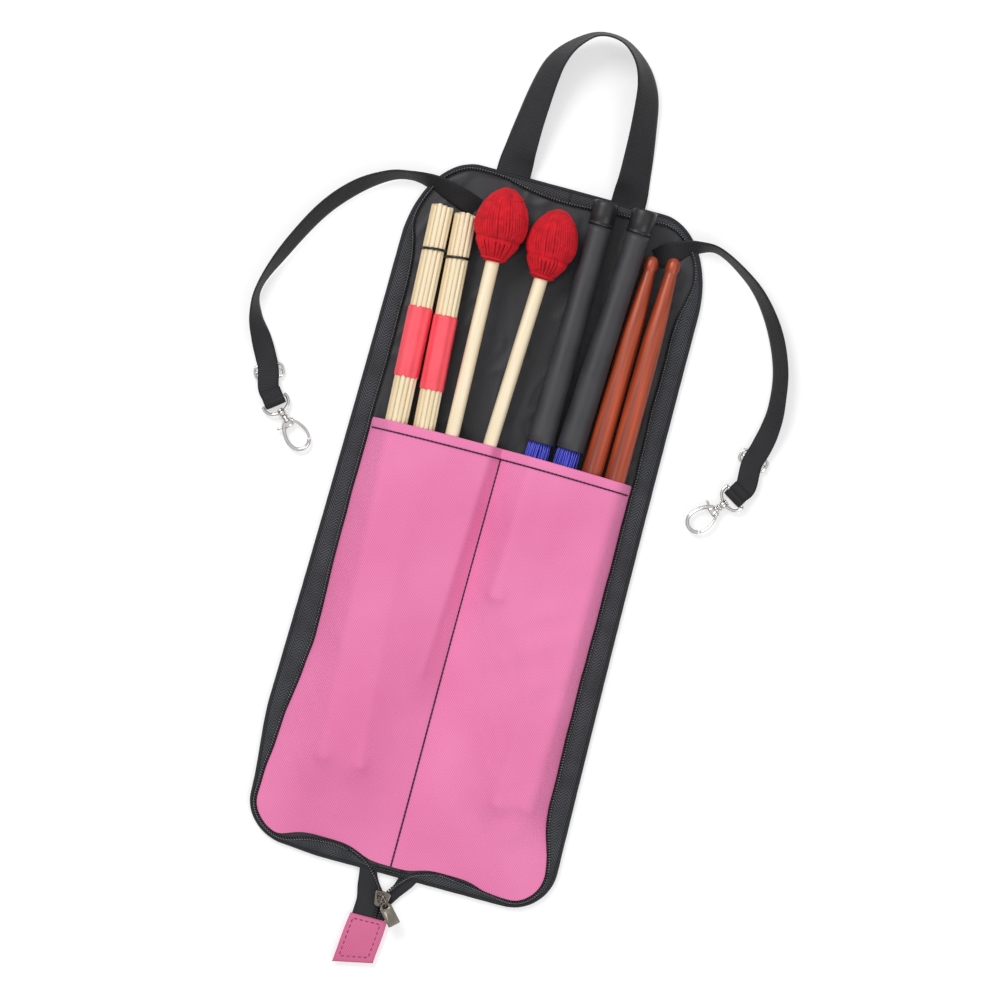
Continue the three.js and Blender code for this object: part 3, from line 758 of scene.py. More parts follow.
def zip_teeth():
    """The coil and its sewing thread, all the way round the rim."""
    rim = rim_path(ARM_LEFT[0][0], ARM_RIGHT[0][0])
    path, inward = rim[:, :3], rim[:, 3:]
    piece = tooth_row("zip_teeth_rim", path, inward, TEETH)
    bend(piece)
    dress(piece, "zip_teeth", "zip_teeth_left", "zip_teeth_right")
    thread = coil_thread("zip_thread_rim", path, inward, -0.55)
    bend(thread)
    dress(thread, "zip_teeth")


def arm_curve(points):
    """A smooth run of teeth from the rim down to the slider."""
    fall = np.linspace(TEETH_Z, TAIL_Z + 0.6, len(points))
    curve = smooth_path(np.column_stack([points, fall]), 40)
    ahead = np.gradient(curve, axis=0)
    return curve, unit(np.cross(ahead, [0, 0, 1.0]))


def tail_part(piece, word):
    """The left arm of the tail keeps its place and is not bent; all the rest of it stays with the right
    half.
    """
    if word == "left":
        bend(piece, (-27, -250, 0), (-6, -264, 0))
    else:
        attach(piece, "half_right")


def zip_tail():
    """The teeth leave the rim, meet in the slider and end, closed, under the end tab."""
    for word, points, turn in (("left", ARM_LEFT, -1), ("right", ARM_RIGHT, 1)):
        curve, across = arm_curve(points)
        teeth = tooth_row(f"zip_arm_{word}", curve, across * turn, TEETH)
        thread = coil_thread(f"zip_arm_thread_{word}", curve, across * turn, -0.5)
        for piece in (teeth, thread):
            tail_part(piece, word)
            dress(piece, "zip_teeth")
    ys = np.linspace(TAIL_HEAD_Y, TAIL_FOOT_Y, 12)
    for word, side, nodes in (("left", -1, ["zip_tail_teeth"]), ("right", 1, [])):
        path = np.column_stack([np.full(12, side * 1.35), ys, np.full(12, TAIL_Z + 0.5)])
        piece = tooth_row(f"zip_closed_{word}", path, np.tile([-side, 0, 0.0], (12, 1)), TEETH)
        dress(piece, "zip_teeth", *nodes, body="half_right")


# The tape ends: x, y, height and width along each
TAIL_TAPES = {
    "left": [(-15, -249, 3.6, 13), (-14, -256, 3.0, 13), (-11.6, -264, 2.2, 16), (-7.2, -275, 1.9, 21),
             (-5.6, -290, 1.9, 25)],
    "right": [(15, -249, 3.6, 15), (13.2, -255, 2.8, 12), (8.5, -264, 1.8, 8.5), (4, -273, 1.4, 6.5),
              (2, -279, 1.3, 5)],
}


def tail_tapes():
    """The two tape ends that run from the bottom edge to the end tab, crossing under the slider."""
    for word, nodes in (("left", ["zip_tail_tape"]), ("right", [])):
        curve = smooth_path(TAIL_TAPES[word], 26)
        piece = ribbon(f"zip_tail_tape_{word}", curve[:, :3], np.zeros(26), curve[:, 3], 0.6, TAPE_PLAIN)
        tail_part(piece, word)
        dress(piece, "zip_tape", *nodes)


# ---- ribbons ------------------------------------------------------------------------------------


def ribbon(name, path, rolls, width, thickness, material, columns=9, slack=0.0, seed=1):
    """Webbing along a path. rolls is its turn about its own length, in degrees; width is one or many."""
    path = np.asarray(path, float)
    count = len(path)
    width = np.broadcast_to(np.asarray(width, float), (count,))
    ahead = np.gradient(path, axis=0)
    level = unit(ahead * [1, 1, 0])
    across = np.column_stack([-level[:, 1], level[:, 0], np.zeros(count)])
    turn = np.radians(rolls)[:, None]
    up = np.array([0, 0, 1.0])
    sides = across * np.cos(turn) + up * np.sin(turn)
    lifts = up * np.cos(turn) - across * np.sin(turn)
    share = np.linspace(-1, 1, columns)
    half = thickness / 2 * (1 - 0.45 * np.abs(share) ** 6)
    length = distance_along(path)
    spots = share[None, :, None] * (width / 2)[:, None, None] * sides[:, None]
    middle = path[:, None] + spots
    u = share[None] * (width / 2)[:, None]
    v = np.repeat(length[:, None], columns, axis=1)
    if slack:
        middle = middle + lifts[:, None] * slack * wobble_field(u + 50 * seed, v, 16, 24, seed)[..., None]
    top = middle + lifts[:, None] * half[None, :, None]
    bottom = middle - lifts[:, None] * half[None, :, None]
    return slab(name, top[:, ::-1], bottom[:, ::-1], material, np.dstack([u, v])[:, ::-1])


# ---- pocket -------------------------------------------------------------------------------------


class Load:
    """Axis of a stick-like thing in the bag, read from its CAD nodes."""

    def __init__(self, name, *nodes):
        self.name = name
        self.body = JOINTS[f"slide_out_{name}"]["child"]
        corners = np.vstack([self.corners(node) for node in nodes])
        centred = corners - corners.mean(0)
        self.along = np.linalg.svd(centred, full_matrices=False)[2][0]
        self.along *= np.sign(self.along[1])
        reach = corners @ self.along
        flat = corners - np.outer(reach, self.along)
        middle = (flat.min(0) + flat.max(0)) / 2
        self.start = middle + self.along * reach.min()
        self.length = reach.max() - reach.min()

    @staticmethod
    def corners(node):
        vertices = frame["nodes"][node].data.vertices
        return np.array([list(v.co) for v in vertices]) / MM

    def span(self, node):
        """Distances from the butt at which a node starts and ends, and its radius."""
        offset = self.corners(node) - self.start
        reach = offset @ self.along
        radius = np.linalg.norm(offset - np.outer(reach, self.along), axis=1).max()
        return reach.min(), reach.max(), radius

    def place(self, piece, slot, *nodes):
        """Turns a piece built along +Y from the origin on to this axis, and dresses it."""
        turn = Vector((0, 1, 0)).rotation_difference(Vector(self.along))
        piece.matrix_world = Matrix.Translation(Vector(self.start * MM)) @ turn.to_matrix().to_4x4()
        bpy.context.view_layer.update()
        dress(piece, slot, *nodes, body=self.body)


LOAD_NODES = {
    "rod": ["rod_{}_dowels"],
    "mallet": ["mallet_{}_shaft"],
    "brush": ["brush_{}_bristles", "brush_{}_tube", "brush_{}_cap"],
    "drumstick": ["stick_{}"],
}
LOADS = {
    f"{kind}_{word}": Load(f"{kind}_{word}", *[node.format(word) for node in nodes])
    for kind, nodes in LOAD_NODES.items()
    for word in ("1", "2")
}
POCKET_RADIUS = {"rod": 8.3, "mallet": 5.0, "brush": 9.4, "drumstick": 7.6}
BARE_Z = 4.2
SEAM_Z, SEAM_RISE = 4.7, 7.5
POCKET_EDGE_Z = 4.9
POCKET_GAP = 0.7
POCKET_SHEET = 0.8
POCKET_BEND = ((-5, 0, 0), (5, 0, 0))
HEM_DEPTH = 8.5
DRAPE_ROUNDS = 900


def load_top(x, y):
    """Height of the top of whatever lies under the pocket, at points of a grid."""
    height = np.full(x.shape, BARE_Z)
    for load in LOADS.values():
        share = (y - load.start[1]) / load.along[1]
        axis_x = load.start[0] + share * load.along[0]
        axis_z = load.start[2] + share * load.along[2]
        radius = POCKET_RADIUS[load.name.split("_")[0]] + 0.4
        rise = np.sqrt(np.clip(radius**2 - (x - axis_x) ** 2, 0, None))
        butt = np.clip((share + 5) / 4, 0, 1)
        here = (share > -5) & (share < load.length) & (np.abs(x - axis_x) < radius)
        height = np.where(here, np.maximum(height, axis_z + rise * np.sqrt(butt)), height)
    return height


def drape(x, y):
    """Height of a sheet pulled tight over the load, sewn down at its sides, foot and centre seam."""
    under = load_top(x, y) + POCKET_GAP
    z = under.copy()
    middle = x.shape[1] // 2
    seam = SEAM_Z + SEAM_RISE * ease(y[:, middle], -50, MOUTH_Y)
    for _ in range(DRAPE_ROUNDS):
        smooth = z.copy()
        smooth[1:-1] += z[2:] + z[:-2]
        smooth[0] += 2 * z[1]
        smooth[-1] += 2 * z[-2]
        smooth[:, 1:-1] += 0.9 * (z[:, 2:] + z[:, :-2])
        smooth[:, 1:-1] /= 4.8
        z = np.maximum(smooth, under)
        z[:, 0] = z[:, -1] = z[-1] = POCKET_EDGE_Z
        z[:, middle] = seam
    return z


def pocket_inset(points, side):
    """The pocket stops just short of the teeth."""
    return teeth_inset(points, side) + 1.5


def pocket_grid():
    """Plan of the pocket, rows from its mouth to its foot, with one column on the centre seam."""
    rows = sheet_rows(pocket_inset, MOUTH_Y, 121)
    half = rows.shape[1] // 2
    left, right = rows[:, :1], rows[:, -1:]
    t = np.linspace(0, 1, half + 1)[None, :, None]
    middle = left * 0.5 + right * 0.5
    middle[..., 0] = 0.25 * np.sin(middle[..., 1] / 47)
    grid = np.concatenate([left * (1 - t) + middle * t, (middle * (1 - t) + right * t)[:, 1:]], axis=1)
    bow = 1.6 * np.cos(grid[0, :, 0] / 62) - 1.0
    near = ease(grid[..., 1], MOUTH_Y - 60, MOUTH_Y)
    grid[..., 1] += near * bow[None]
    foot = 1 - ease(grid[..., 1], BOTTOM_Y + 6, BOTTOM_Y + 50)
    x = grid[..., 0]
    scallop = 7.4 * np.exp(-(((x + 50) / 28) ** 4)) + 5.2 * np.exp(-(((x - 42) / 24) ** 4))
    grid[..., 1] += foot * scallop
    return grid


def pocket_folds(x, y, z):
    """Slack in the cloth: drawn creases at the right side, and soft hollows beside the seam."""
    free = ease(z, 5.5, 13) * ease(MOUTH_Y - y, 2, 30)
    crease = np.sin((y - 0.62 * x) / 4.6 + 1.6 * wobble_field(x, y, 30, 30, 31))
    patch = np.exp(-(((x - 62) / 24) ** 2) - ((y + 78) / 52) ** 2)
    pucker = np.exp(-(((x - 74) / 16) ** 2) - ((y + 190) / 30) ** 2)
    slow = 0.9 * wobble_field(x, y, 26, 55, 32) + 0.35 * wobble_field(x + 0.6 * y, y, 11, 20, 33)
    return free * (slow + 0.62 * crease * patch + 0.5 * crease * pucker)


def pocket():
    """Pink cloth pocket over the lower part of both halves, with a hem along its mouth."""
    plan = pocket_grid()
    x, y = plan[..., 0], plan[..., 1]
    z = drape(x, y)
    z = z + pocket_folds(x, y, z)
    hem = ease(y, MOUTH_Y - HEM_DEPTH - 1.2, MOUTH_Y - HEM_DEPTH + 0.6)
    rise = 0.5 * hem - 0.35 * np.exp(-(((y - MOUTH_Y + HEM_DEPTH) / 1.3) ** 2))
    z = np.minimum(z + rise, POCKET_TOP_Z + 0.6)
    top = np.dstack([x, y, z])
    thick = POCKET_SHEET + 0.5 * hem
    bottom = top - np.dstack([np.zeros_like(x), np.zeros_like(x), thick])
    piece = slab("pocket_cloth", top[::-1], bottom[::-1], PINK, plan[::-1])
    smooth = piece.modifiers.new("smooth", "SUBSURF")
    smooth.levels = smooth.render_levels = 1
    bpy.context.view_layer.objects.active = piece
    bpy.ops.object.modifier_apply(modifier="smooth")
    bend(piece, *POCKET_BEND)
    dress(piece, "pink_fabric", "pocket_left", "pocket_right")
    pocket_stitching(top)


def pocket_stitching(top):
    """Close dark stitches over a thin cord: a row under the mouth, and the seam between the two halves."""
    normals = np.cross(np.gradient(top, axis=1), np.gradient(top, axis=0))
    normals = unit(normals * np.sign(normals[..., 2:]))
    row = int(np.argmin(np.abs(top[:, 10, 1] - (MOUTH_Y - HEM_DEPTH + 1.2))))
    middle = top.shape[1] // 2
    seam = top[row:, middle] * 0.75 + (top[row:, middle - 1] + top[row:, middle + 1]) * 0.125
    lines = {
        "pocket_mouth": (top[row, 1:-1] + normals[row, 1:-1] * 0.25, normals[row, 1:-1]),
        "pocket_centre": (seam + [0, 0, 0.3], upright(len(seam))),
    }
    for name, (path, ups) in lines.items():
        row_of_stitches = stitches(f"{name}_stitches", path, ups, 3.0, 2.9, 1.3, SEAM_THREAD)
        cord = wire(f"{name}_cord", path, 0.5, SEAM_THREAD, sides=8)
        for piece in (row_of_stitches, cord):
            bend(piece, *POCKET_BEND)
            dress(piece, "pink_fabric")


# ---- handle and straps --------------------------------------------------------------------------

HANDLE_WIDTH = 25
STRAP_WIDTH = 15


def handle():
    """One loop of webbing, flat where it is sewn to the bag and on its edge at the crown."""
    low_left, high_left = node_box("handle_webbing_left")
    _, high_right = node_box("handle_webbing_right")
    half = HANDLE_WIDTH / 2
    root_y = low_left[1]
    rise = max(high_left[1], high_right[1]) - root_y
    leg = [
        (0.2, -6, 1.9, 0), (0.2, 6, 3.4, 10), (0.6, 18, 6.4, 26), (2.2, 40, 9.0, 37),
        (5.6, 0.62 * rise, 14.2, 48), (10.2, 0.765 * rise, 17.6, 58), (18.2, 0.877 * rise, 20.2, 69),
        (30, 0.962 * rise, FOLD_Z - 0.8, 76),
    ]
    legs = [
        [(root - side * lean, root_y + up, z, roll) for lean, up, z, roll in leg]
        for side, root in ((-1, low_left[0] + half), (1, high_right[0] - half))
    ]
    stations = legs[0] + [(SPINE_X + 1, root_y + rise - 1.5, FOLD_Z, 78)] + legs[1][::-1]
    curve = smooth_path(stations, 190)
    piece = ribbon("handle_webbing", curve[:, :3], -curve[:, 3], HANDLE_WIDTH, 1.5, WEBBING,
                   columns=13, slack=0.5, seed=3)
    bend(piece, (-20, 0, 0), (14, 0, 0), ("handle_left", "handle_right"))
    dress(piece, "webbing", "handle_webbing_left", "handle_webbing_right")


# Each strap from the bag to its hook: x, y, height and roll
STRAP_PATHS = {
    "left": [
        (-62, 222, 2.7, 0), (-70, 224.5, 5.4, -4), (-82, 228.2, 6.8, -24), (-97, 232, 7.6, -50),
        (-113, 232.5, 8.2, -70), (-130, 228, 8.4, -66), (-151, 213, 8.4, -54), (-170, 190, 8.4, -54),
        (-189, 153, 8.4, -64), (-198, 126, 8.2, -78), (-195, 108, 8.0, -58), (-187, 93, 6.0, -24),
        (-181, 82, 4.3, 0), (-176.5, 73, 4.2, 0),
    ],
    "right": [
        (70, 220, 2.7, 0), (77, 225.5, 5.4, 6), (86, 231, 6.8, 30), (97, 236, 8.0, 58),
        (112, 237.5, 8.6, 76), (134, 226.5, 8.6, 72), (151, 212, 8.4, 62), (166, 191, 8.4, 52),
        (176.5, 166, 8.2, 48), (180.5, 141, 7.4, 42), (180, 124, 5.6, 26), (177.5, 110, 4.4, 4),
        (174, 97, 4.2, 0),
    ],
}


def strap(word):
    """Webbing from the bag to its hook."""
    pivot, _, heading = local_frame(word)
    points = STRAP_PATHS[word] + [(*(pivot - heading * reach), 0) for reach in (11, 4)]
    curve = smooth_path(points, 150)
    piece = ribbon(f"strap_cloth_{word}", curve[:, :3], curve[:, 3], STRAP_WIDTH, 1.1, WEBBING,
                   slack=0.35, seed=5)
    dress(piece, "webbing", f"strap_webbing_{word}", body=f"strap_{word}")


def local_frame(word):
    """Pivot of a hook's ring in mm, the hook's heading, and the strap end's heading."""
    pivot = np.array(JOINTS[f"ring_tilt_{word}"]["pos_m"]) / MM
    heading = np.array(JOINTS[f"hook_swivel_{word}"]["axis"], float)
    low, high = node_box(f"strap_end_loop_{word}")
    centre = (low + high) / 2
    strap_heading = pivot - centre
    strap_heading[2] = 0
    return pivot, heading / np.linalg.norm(heading), strap_heading / np.linalg.norm(strap_heading)


def to_frame(points, origin, heading):
    """Points given along, across and above a heading, moved to the row frame."""
    points = np.asarray(points, float)
    across = np.cross([0, 0, 1.0], heading)
    level = origin + np.outer(points[:, 0], heading) + np.outer(points[:, 1], across)
    return level + np.outer(points[:, 2], [0, 0, 1])


def strap_end(word):
    """The sewn end: the webbing folded round the ring's bar and stitched to itself."""
    pivot, _, heading = local_frame(word)
    outer, tail, half = 3.25, 8.5, 1.15
    angles = np.linspace(math.pi * 0.84, -math.pi * 0.84, 26)
    bow = [(outer * math.cos(a), outer * math.sin(a)) for a in angles]
    line = [(-tail, half), (-tail * 0.6, half + 0.05)] + bow + [(-tail * 0.6, -half - 0.05), (-tail, -half)]
    line = smooth_path(line, 70)
    normal = np.gradient(line, axis=0)
    normal = unit(np.column_stack([-normal[:, 1], normal[:, 0]]))
    half_width = STRAP_WIDTH / 2
    share = np.linspace(-half_width, half_width, 9)
    across = np.cross([0, 0, 1.0], heading)
    half_sheet = 0.55 * (1 - 0.45 * np.abs(share / half_width) ** 6)

    def side(sign):
        at = line[:, None] + normal[:, None] * half_sheet[None, :, None] * sign
        flat = pivot + at[..., :1] * heading + at[..., 1:] * np.array([0, 0, 1.0])
        return flat + share[None, :, None] * across

    uvs = np.dstack(np.broadcast_arrays(share[None], distance_along(line)[:, None]))
    piece = slab(f"strap_end_{word}", side(1), side(-1), WEBBING, uvs)
    dress(piece, "webbing", f"strap_end_loop_{word}", body=f"strap_{word}")
    box_path = [(-tail + 1, -6, 0), (-tail + 1, 6, 0), (-4.6, 6, 0), (-4.6, -6, 0), (-tail + 1, -6, 0)]
    path = to_frame(np.array(box_path) + [0, 0, half + 0.6], pivot, heading)
    seam = stitches(f"strap_end_stitches_{word}", path, upright(5), 1.8, 1.4, 0.45, BLACK_THREAD)
    dress(seam, "webbing", body=f"strap_{word}")


# ---- metal fittings -----------------------------------------------------------------------------


def wire(name, path, radius, material, closed=False, sides=14, squash=1.0):
    """A round wire along a path."""
    return new_piece(name, *sweep(path, circle(radius, sides, squash), closed=closed), material)


def rounded_loop(long, wide, corner, z):
    """A rounded rectangle, long by wide from centre to edge."""
    points = []
    for index, (cx, cy) in enumerate([(1, 1), (-1, 1), (-1, -1), (1, -1)]):
        for angle in np.linspace(0, math.pi / 2, 10) + index * math.pi / 2:
            points.append((cx * (long - corner) + corner * math.cos(angle),
                           cy * (wide - corner) + corner * math.sin(angle), z))
    return points


def adjuster(word):
    """Tri-glide of round wire under the strap: only its rounded ends stand out beside the webbing."""
    low, high = node_box(f"triglide_{word}")
    centre = (low + high) / 2
    heading = np.array(JOINTS[f"adjuster_slide_{word}"]["axis"], float)
    centre[2] = 4.2
    loop = to_frame(rounded_loop(4.6, 10.2, 3.2, -1.75), centre, heading)
    frame_wire = wire(f"adjuster_frame_{word}", loop, 1.0, NICKEL, closed=True)
    bar = to_frame([(0, y, -1.75) for y in np.linspace(-10, 10, 6)], centre, heading)
    bar_wire = wire(f"adjuster_bar_{word}", bar, 0.95, NICKEL)
    dress(frame_wire, "nickel", f"triglide_{word}", body=f"adjuster_{word}")
    dress(bar_wire, "nickel", body=f"adjuster_{word}")


def around_y(radius, angles, y):
    """Points at a radius round the Y axis."""
    y = np.broadcast_to(y, np.shape(angles))
    return np.column_stack([radius * np.cos(angles), y, radius * np.sin(angles)])


def lathe(name, profile, material, sides=24, start=None, axis=None):
    """A turned piece. profile holds (radius, distance) along its axis, which is +Y if it isn't given."""
    angles = turns(sides)
    profile = np.asarray(profile, float)
    vertices = np.concatenate([around_y(r, angles, y) for r, y in profile])
    faces = [face[::-1] for face in tube_faces(len(profile), sides)]
    around = np.tile(angles, len(profile)) * profile[:, 0].max()
    uvs = np.column_stack([around, np.repeat(profile[:, 1], sides)])
    if axis is not None:
        turn = np.array(Vector((0, 1, 0)).rotation_difference(Vector(axis)).to_matrix())
        vertices = vertices @ turn.T + start
    return new_piece(name, vertices, faces, material, uvs)


def swivel_ring(word):
    """D-shaped ring with a round bar in the strap's end and a boss for the hook's stem."""
    pivot, heading, _ = local_frame(word)
    quarter = [(0, -9.4), (3, -9.4), (6.4, -7.6), (8.6, -3.6)]
    plan = quarter + [(9.4, 0)] + [(x, -y) for x, y in quarter[::-1]]
    curve = smooth_path(plan, 40)
    bow = to_frame(np.column_stack([curve, np.zeros(40)]), pivot, heading)
    pieces = [wire(f"ring_bow_{word}", bow, 1.15, NICKEL, squash=0.9)]
    bar = to_frame([(0, y, 0) for y in np.linspace(-10.2, 10.2, 5)], pivot, heading)
    pieces.append(wire(f"ring_bar_{word}", bar, 1.1, NICKEL))
    profile = [(1.9, 8.2), (2.8, 8.5), (3.0, 9.4), (3.0, 11.2), (2.7, 11.7), (1.7, 11.8)]
    pieces.append(lathe(f"ring_boss_{word}", profile, NICKEL, 24, pivot, heading))
    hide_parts(f"swivel_ring_{word}")
    for piece in pieces:
        dress(piece, "nickel", body=f"ring_{word}")


HOOK_CENTRE, HOOK_LONG, HOOK_WIDE, HOOK_PEAR = 28, 11.5, 7.6, 0.2
GATE_PIVOT, GATE_TIP, HOOK_NOSE = 148, 51, 46


def hook_arc(start, end, count):
    """Part of the hook's loop, a pear shape with its narrow end at the shoulder; angles in degrees."""
    angles = np.radians(np.linspace(start, end, count))
    wide = HOOK_WIDE * np.sin(angles) * (1 + HOOK_PEAR * np.cos(angles))
    return np.column_stack([HOOK_CENTRE + HOOK_LONG * np.cos(angles), wide])


HOOK_STEM = [
    (0, 6.6), (2.3, 6.8), (2.4, 7.9), (1.2, 8.2), (1.2, 12.2), (2.2, 12.4), (2.9, 12.9), (3.0, 13.9),
    (2.3, 14.3), (2.3, 14.9), (3.0, 15.3), (3.2, 16.6), (2.5, 17.6), (0, 17.9),
]
# The shoulder: distance along the hook, offset to its side, half width and half thickness
HOOK_SHOULDER = [
    (14.8, 0, 1.8, 1.6), (16.4, -0.2, 2.7, 1.9), (18.4, -0.5, 3.5, 1.9), (20.4, -0.7, 4.2, 1.8),
    (21.3, -0.7, 3.6, 1.2),
]
HOOK_SPUR = [(19.5, -4.2, 0.9), (18.6, -6.2, 0.85), (18.2, -8.4, 0.9), (18.6, -9.4, 0.6)]


def snap_hook(word):
    """Snap hook: a turned stem, a tapered shoulder and an open loop of wire, with its sprung gate."""
    pivot, heading, _ = local_frame(word)

    def swept(name, path, section, *nodes, body="hook"):
        path = to_frame([(x, y, 0) for x, y in path], pivot, heading)
        piece = new_piece(f"{name}_{word}", *sweep(path, section), NICKEL)
        dress(piece, "nickel", *nodes, body=f"{body}_{word}")

    def turned(name, profile, sides, start, axis, *nodes):
        piece = lathe(f"{name}_{word}", profile, NICKEL, sides, start, axis)
        dress(piece, "nickel", *nodes, body=f"hook_{word}")

    turned("hook_stem", HOOK_STEM, 24, pivot, heading)
    arc = hook_arc(HOOK_NOSE, GATE_PIVOT - 360 - 4, 60)
    swell = 1.45 + 0.4 * ease(-arc[:, 0], -HOOK_CENTRE + 2, -HOOK_CENTRE + 11)
    swept("hook_loop", arc, circle(1, 14)[None] * swell[:, None, None], f"hook_body_{word}")
    section = [circle(1, 18) * [wide, thick] for _, _, wide, thick in HOOK_SHOULDER]
    swept("hook_shoulder", [point[:2] for point in HOOK_SHOULDER], section)
    pin_at = to_frame([(*hook_arc(GATE_PIVOT, GATE_PIVOT, 1)[0], 0)], pivot, heading)[0]
    head = [(0, -1.9), (0.8, -1.85), (1.0, -1.6), (1.0, 1.6), (0.8, 1.85), (0, 1.9)]
    turned("hook_pin", head, 16, pin_at, (0, 0, 1), f"gate_pin_{word}")
    slim = 0.95 + 0.15 * np.sin(np.linspace(0, math.pi, 24))
    swept("gate_arm", hook_arc(GATE_PIVOT - 3, GATE_TIP, 24), circle(1, 12)[None] * slim[:, None, None],
          f"gate_{word}", body="hook_gate")
    sizes = np.array([size for _, _, size in HOOK_SPUR])
    swept("hook_spur", [point[:2] for point in HOOK_SPUR], circle(1, 10, 0.8)[None] * sizes[:, None, None])


def rounded_outline(corners, radius):
    """A closed outline through corners, each rounded off over radius on both sides, evenly spaced."""
    corners = np.asarray(corners, float)
    points = []
    for before, corner, after in zip(np.roll(corners, 1, axis=0), corners, np.roll(corners, -1, axis=0)):
        enter = corner + (before - corner) * radius / np.linalg.norm(before - corner)
        leave = corner + (after - corner) * radius / np.linalg.norm(after - corner)
        for s in np.linspace(0, 1, 7):
            points.append((1 - s) ** 2 * enter + 2 * s * (1 - s) * corner + s * s * leave)
    return even(points + points[:1], 0.4)[0][:-1]


def pressed_plate(name, outer, inner, levels, place, material):
    """A plate as a closed band of rows. Each level is (which outline, how far inside it, height)."""
    rows = []
    for which, inset, height in levels:
        loop = outer if which == "outer" else inner
        ahead = np.roll(loop, -1, axis=0) - np.roll(loop, 1, axis=0)
        normal = unit(np.column_stack([-ahead[:, 1], ahead[:, 0]]))
        rows.append(np.column_stack([loop + normal * inset, np.full(len(loop), height)]))
    count, columns = len(rows), len(outer)
    faces = []
    for i in range(count):
        for k in range(columns):
            low, high = i * columns, (i + 1) % count * columns
            turn = (k + 1) % columns
            faces.append((low + k, low + turn, high + turn, high + k))
    return new_piece(name, place(np.concatenate(rows)), faces, material)


def plate_levels(low, high, soft, dish=0.0):
    """Rows of a plate with soft rims, dished on its upper side between its outer and inner edges."""
    return [
        ("outer", 0, low + soft), ("outer", 0, high - soft), ("outer", 0.3 * soft, high - 0.3 * soft),
        ("outer", soft, high), ("outer", 2.2 * soft, high - dish),
        ("inner", -1.6 * soft, high - dish), ("inner", -0.8 * soft, high),
        ("inner", -0.2 * soft, high - 0.3 * soft), ("inner", 0, high - soft), ("inner", 0, low + soft),
        ("inner", -0.8 * soft, low), ("outer", soft, low),
    ]


def facing(outer, centre, long, wide):
    """A small oval round a centre, with one point in line with each point of the outline round it."""
    angles = np.arctan2(outer[:, 1] - centre[1], outer[:, 0] - centre[0])
    reach = (np.abs(np.cos(angles) / long) ** 4 + np.abs(np.sin(angles) / wide) ** 4) ** -0.25
    return centre + np.column_stack([np.cos(angles), np.sin(angles)]) * reach[:, None]


def slider():
    """Zip slider: two pressed plates on a post, and a bridge that the pull's link runs under."""
    low, high = node_box("slider_body")
    centre = (low + high) / 2 * [1, 1, 0]
    half_wide, half_long = (high - low)[:2] / 2
    corners = [(half_wide, half_long), (-half_wide, half_long), (-half_wide + 1.8, -half_long),
               (half_wide - 1.8, -half_long)]
    outer = rounded_outline(corners, 2.2)
    inner = facing(outer, np.array([0.0, 0.0]), 0.05, 0.05)
    pieces = []
    for word, bottom, top in (("top", 5.3, 6.5), ("bottom", 0.6, 1.6)):
        levels = plate_levels(bottom, top, 0.35)
        levels[5:11] = [("inner", 0, top + 0.15), ("inner", 0, bottom)]
        name = f"slider_{word}_plate"
        pieces.append(pressed_plate(name, outer, inner, levels, lambda at: at + centre, ANTIQUE))
    arch = [(0, -4.5, 6.1), (0, -4.4, 7.7), (0, -3.4, 9.3), (0, -1.5, 9.8), (0, 1.5, 9.8), (0, 3.4, 9.3),
            (0, 4.4, 7.7), (0, 4.5, 6.1)]
    pieces.append(wire("slider_bridge", smooth_path(arch, 40) + centre, 0.7, ANTIQUE))
    post = [(0, 1.4), (0.8, 1.5), (0.8, 5.4), (0, 5.5)]
    foot = centre + [0, 0.82 * half_long, 0]
    pieces.append(lathe("slider_post", post, ANTIQUE, 16, foot, (0, 0, 1)))
    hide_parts("slider_body")
    for piece in pieces:
        dress(piece, "antique_nickel", body="slider")


def pull():
    """The pull: a link of round wire, leaning over, and a dished plate hung on it by a slot."""
    origin = np.array(JOINTS["pull_link_swing"]["pos_m"]) / MM * [1, 1, 0]
    across = np.array(JOINTS["pull_tilt"]["axis"], float)
    heading = np.array([across[1], -across[0], 0])
    radius, lean = 4.4, math.radians(30)
    angles = np.linspace(0, 2 * math.pi, 48, endpoint=False)
    loop = np.column_stack([0.8 + radius * np.cos(angles), -radius * math.sin(lean) * np.sin(angles),
                            11.9 - radius * math.cos(lean) * np.sin(angles)])
    link = wire("pull_link", to_frame(loop, origin, heading), 0.68, ANTIQUE, closed=True)
    corners = [(3.1, -1.6), (6, -4.5), (20.5, -4.5), (20.5, 4.5), (6, 4.5), (3.1, 1.6)]
    outer = rounded_outline(corners, 0.9)
    slot = facing(outer, np.array([5.75, 0.0]), 1.6, 2.0)
    levels = plate_levels(11.1, 12.3, 0.3, 0.2)
    plate = pressed_plate("pull_plate", outer, slot, levels,
                          lambda at: to_frame(at, origin, heading), ANTIQUE)
    dress(link, "antique_nickel", "pull_ring", body="pull_link")
    dress(plate, "antique_nickel", "pull_tab", body="pull")


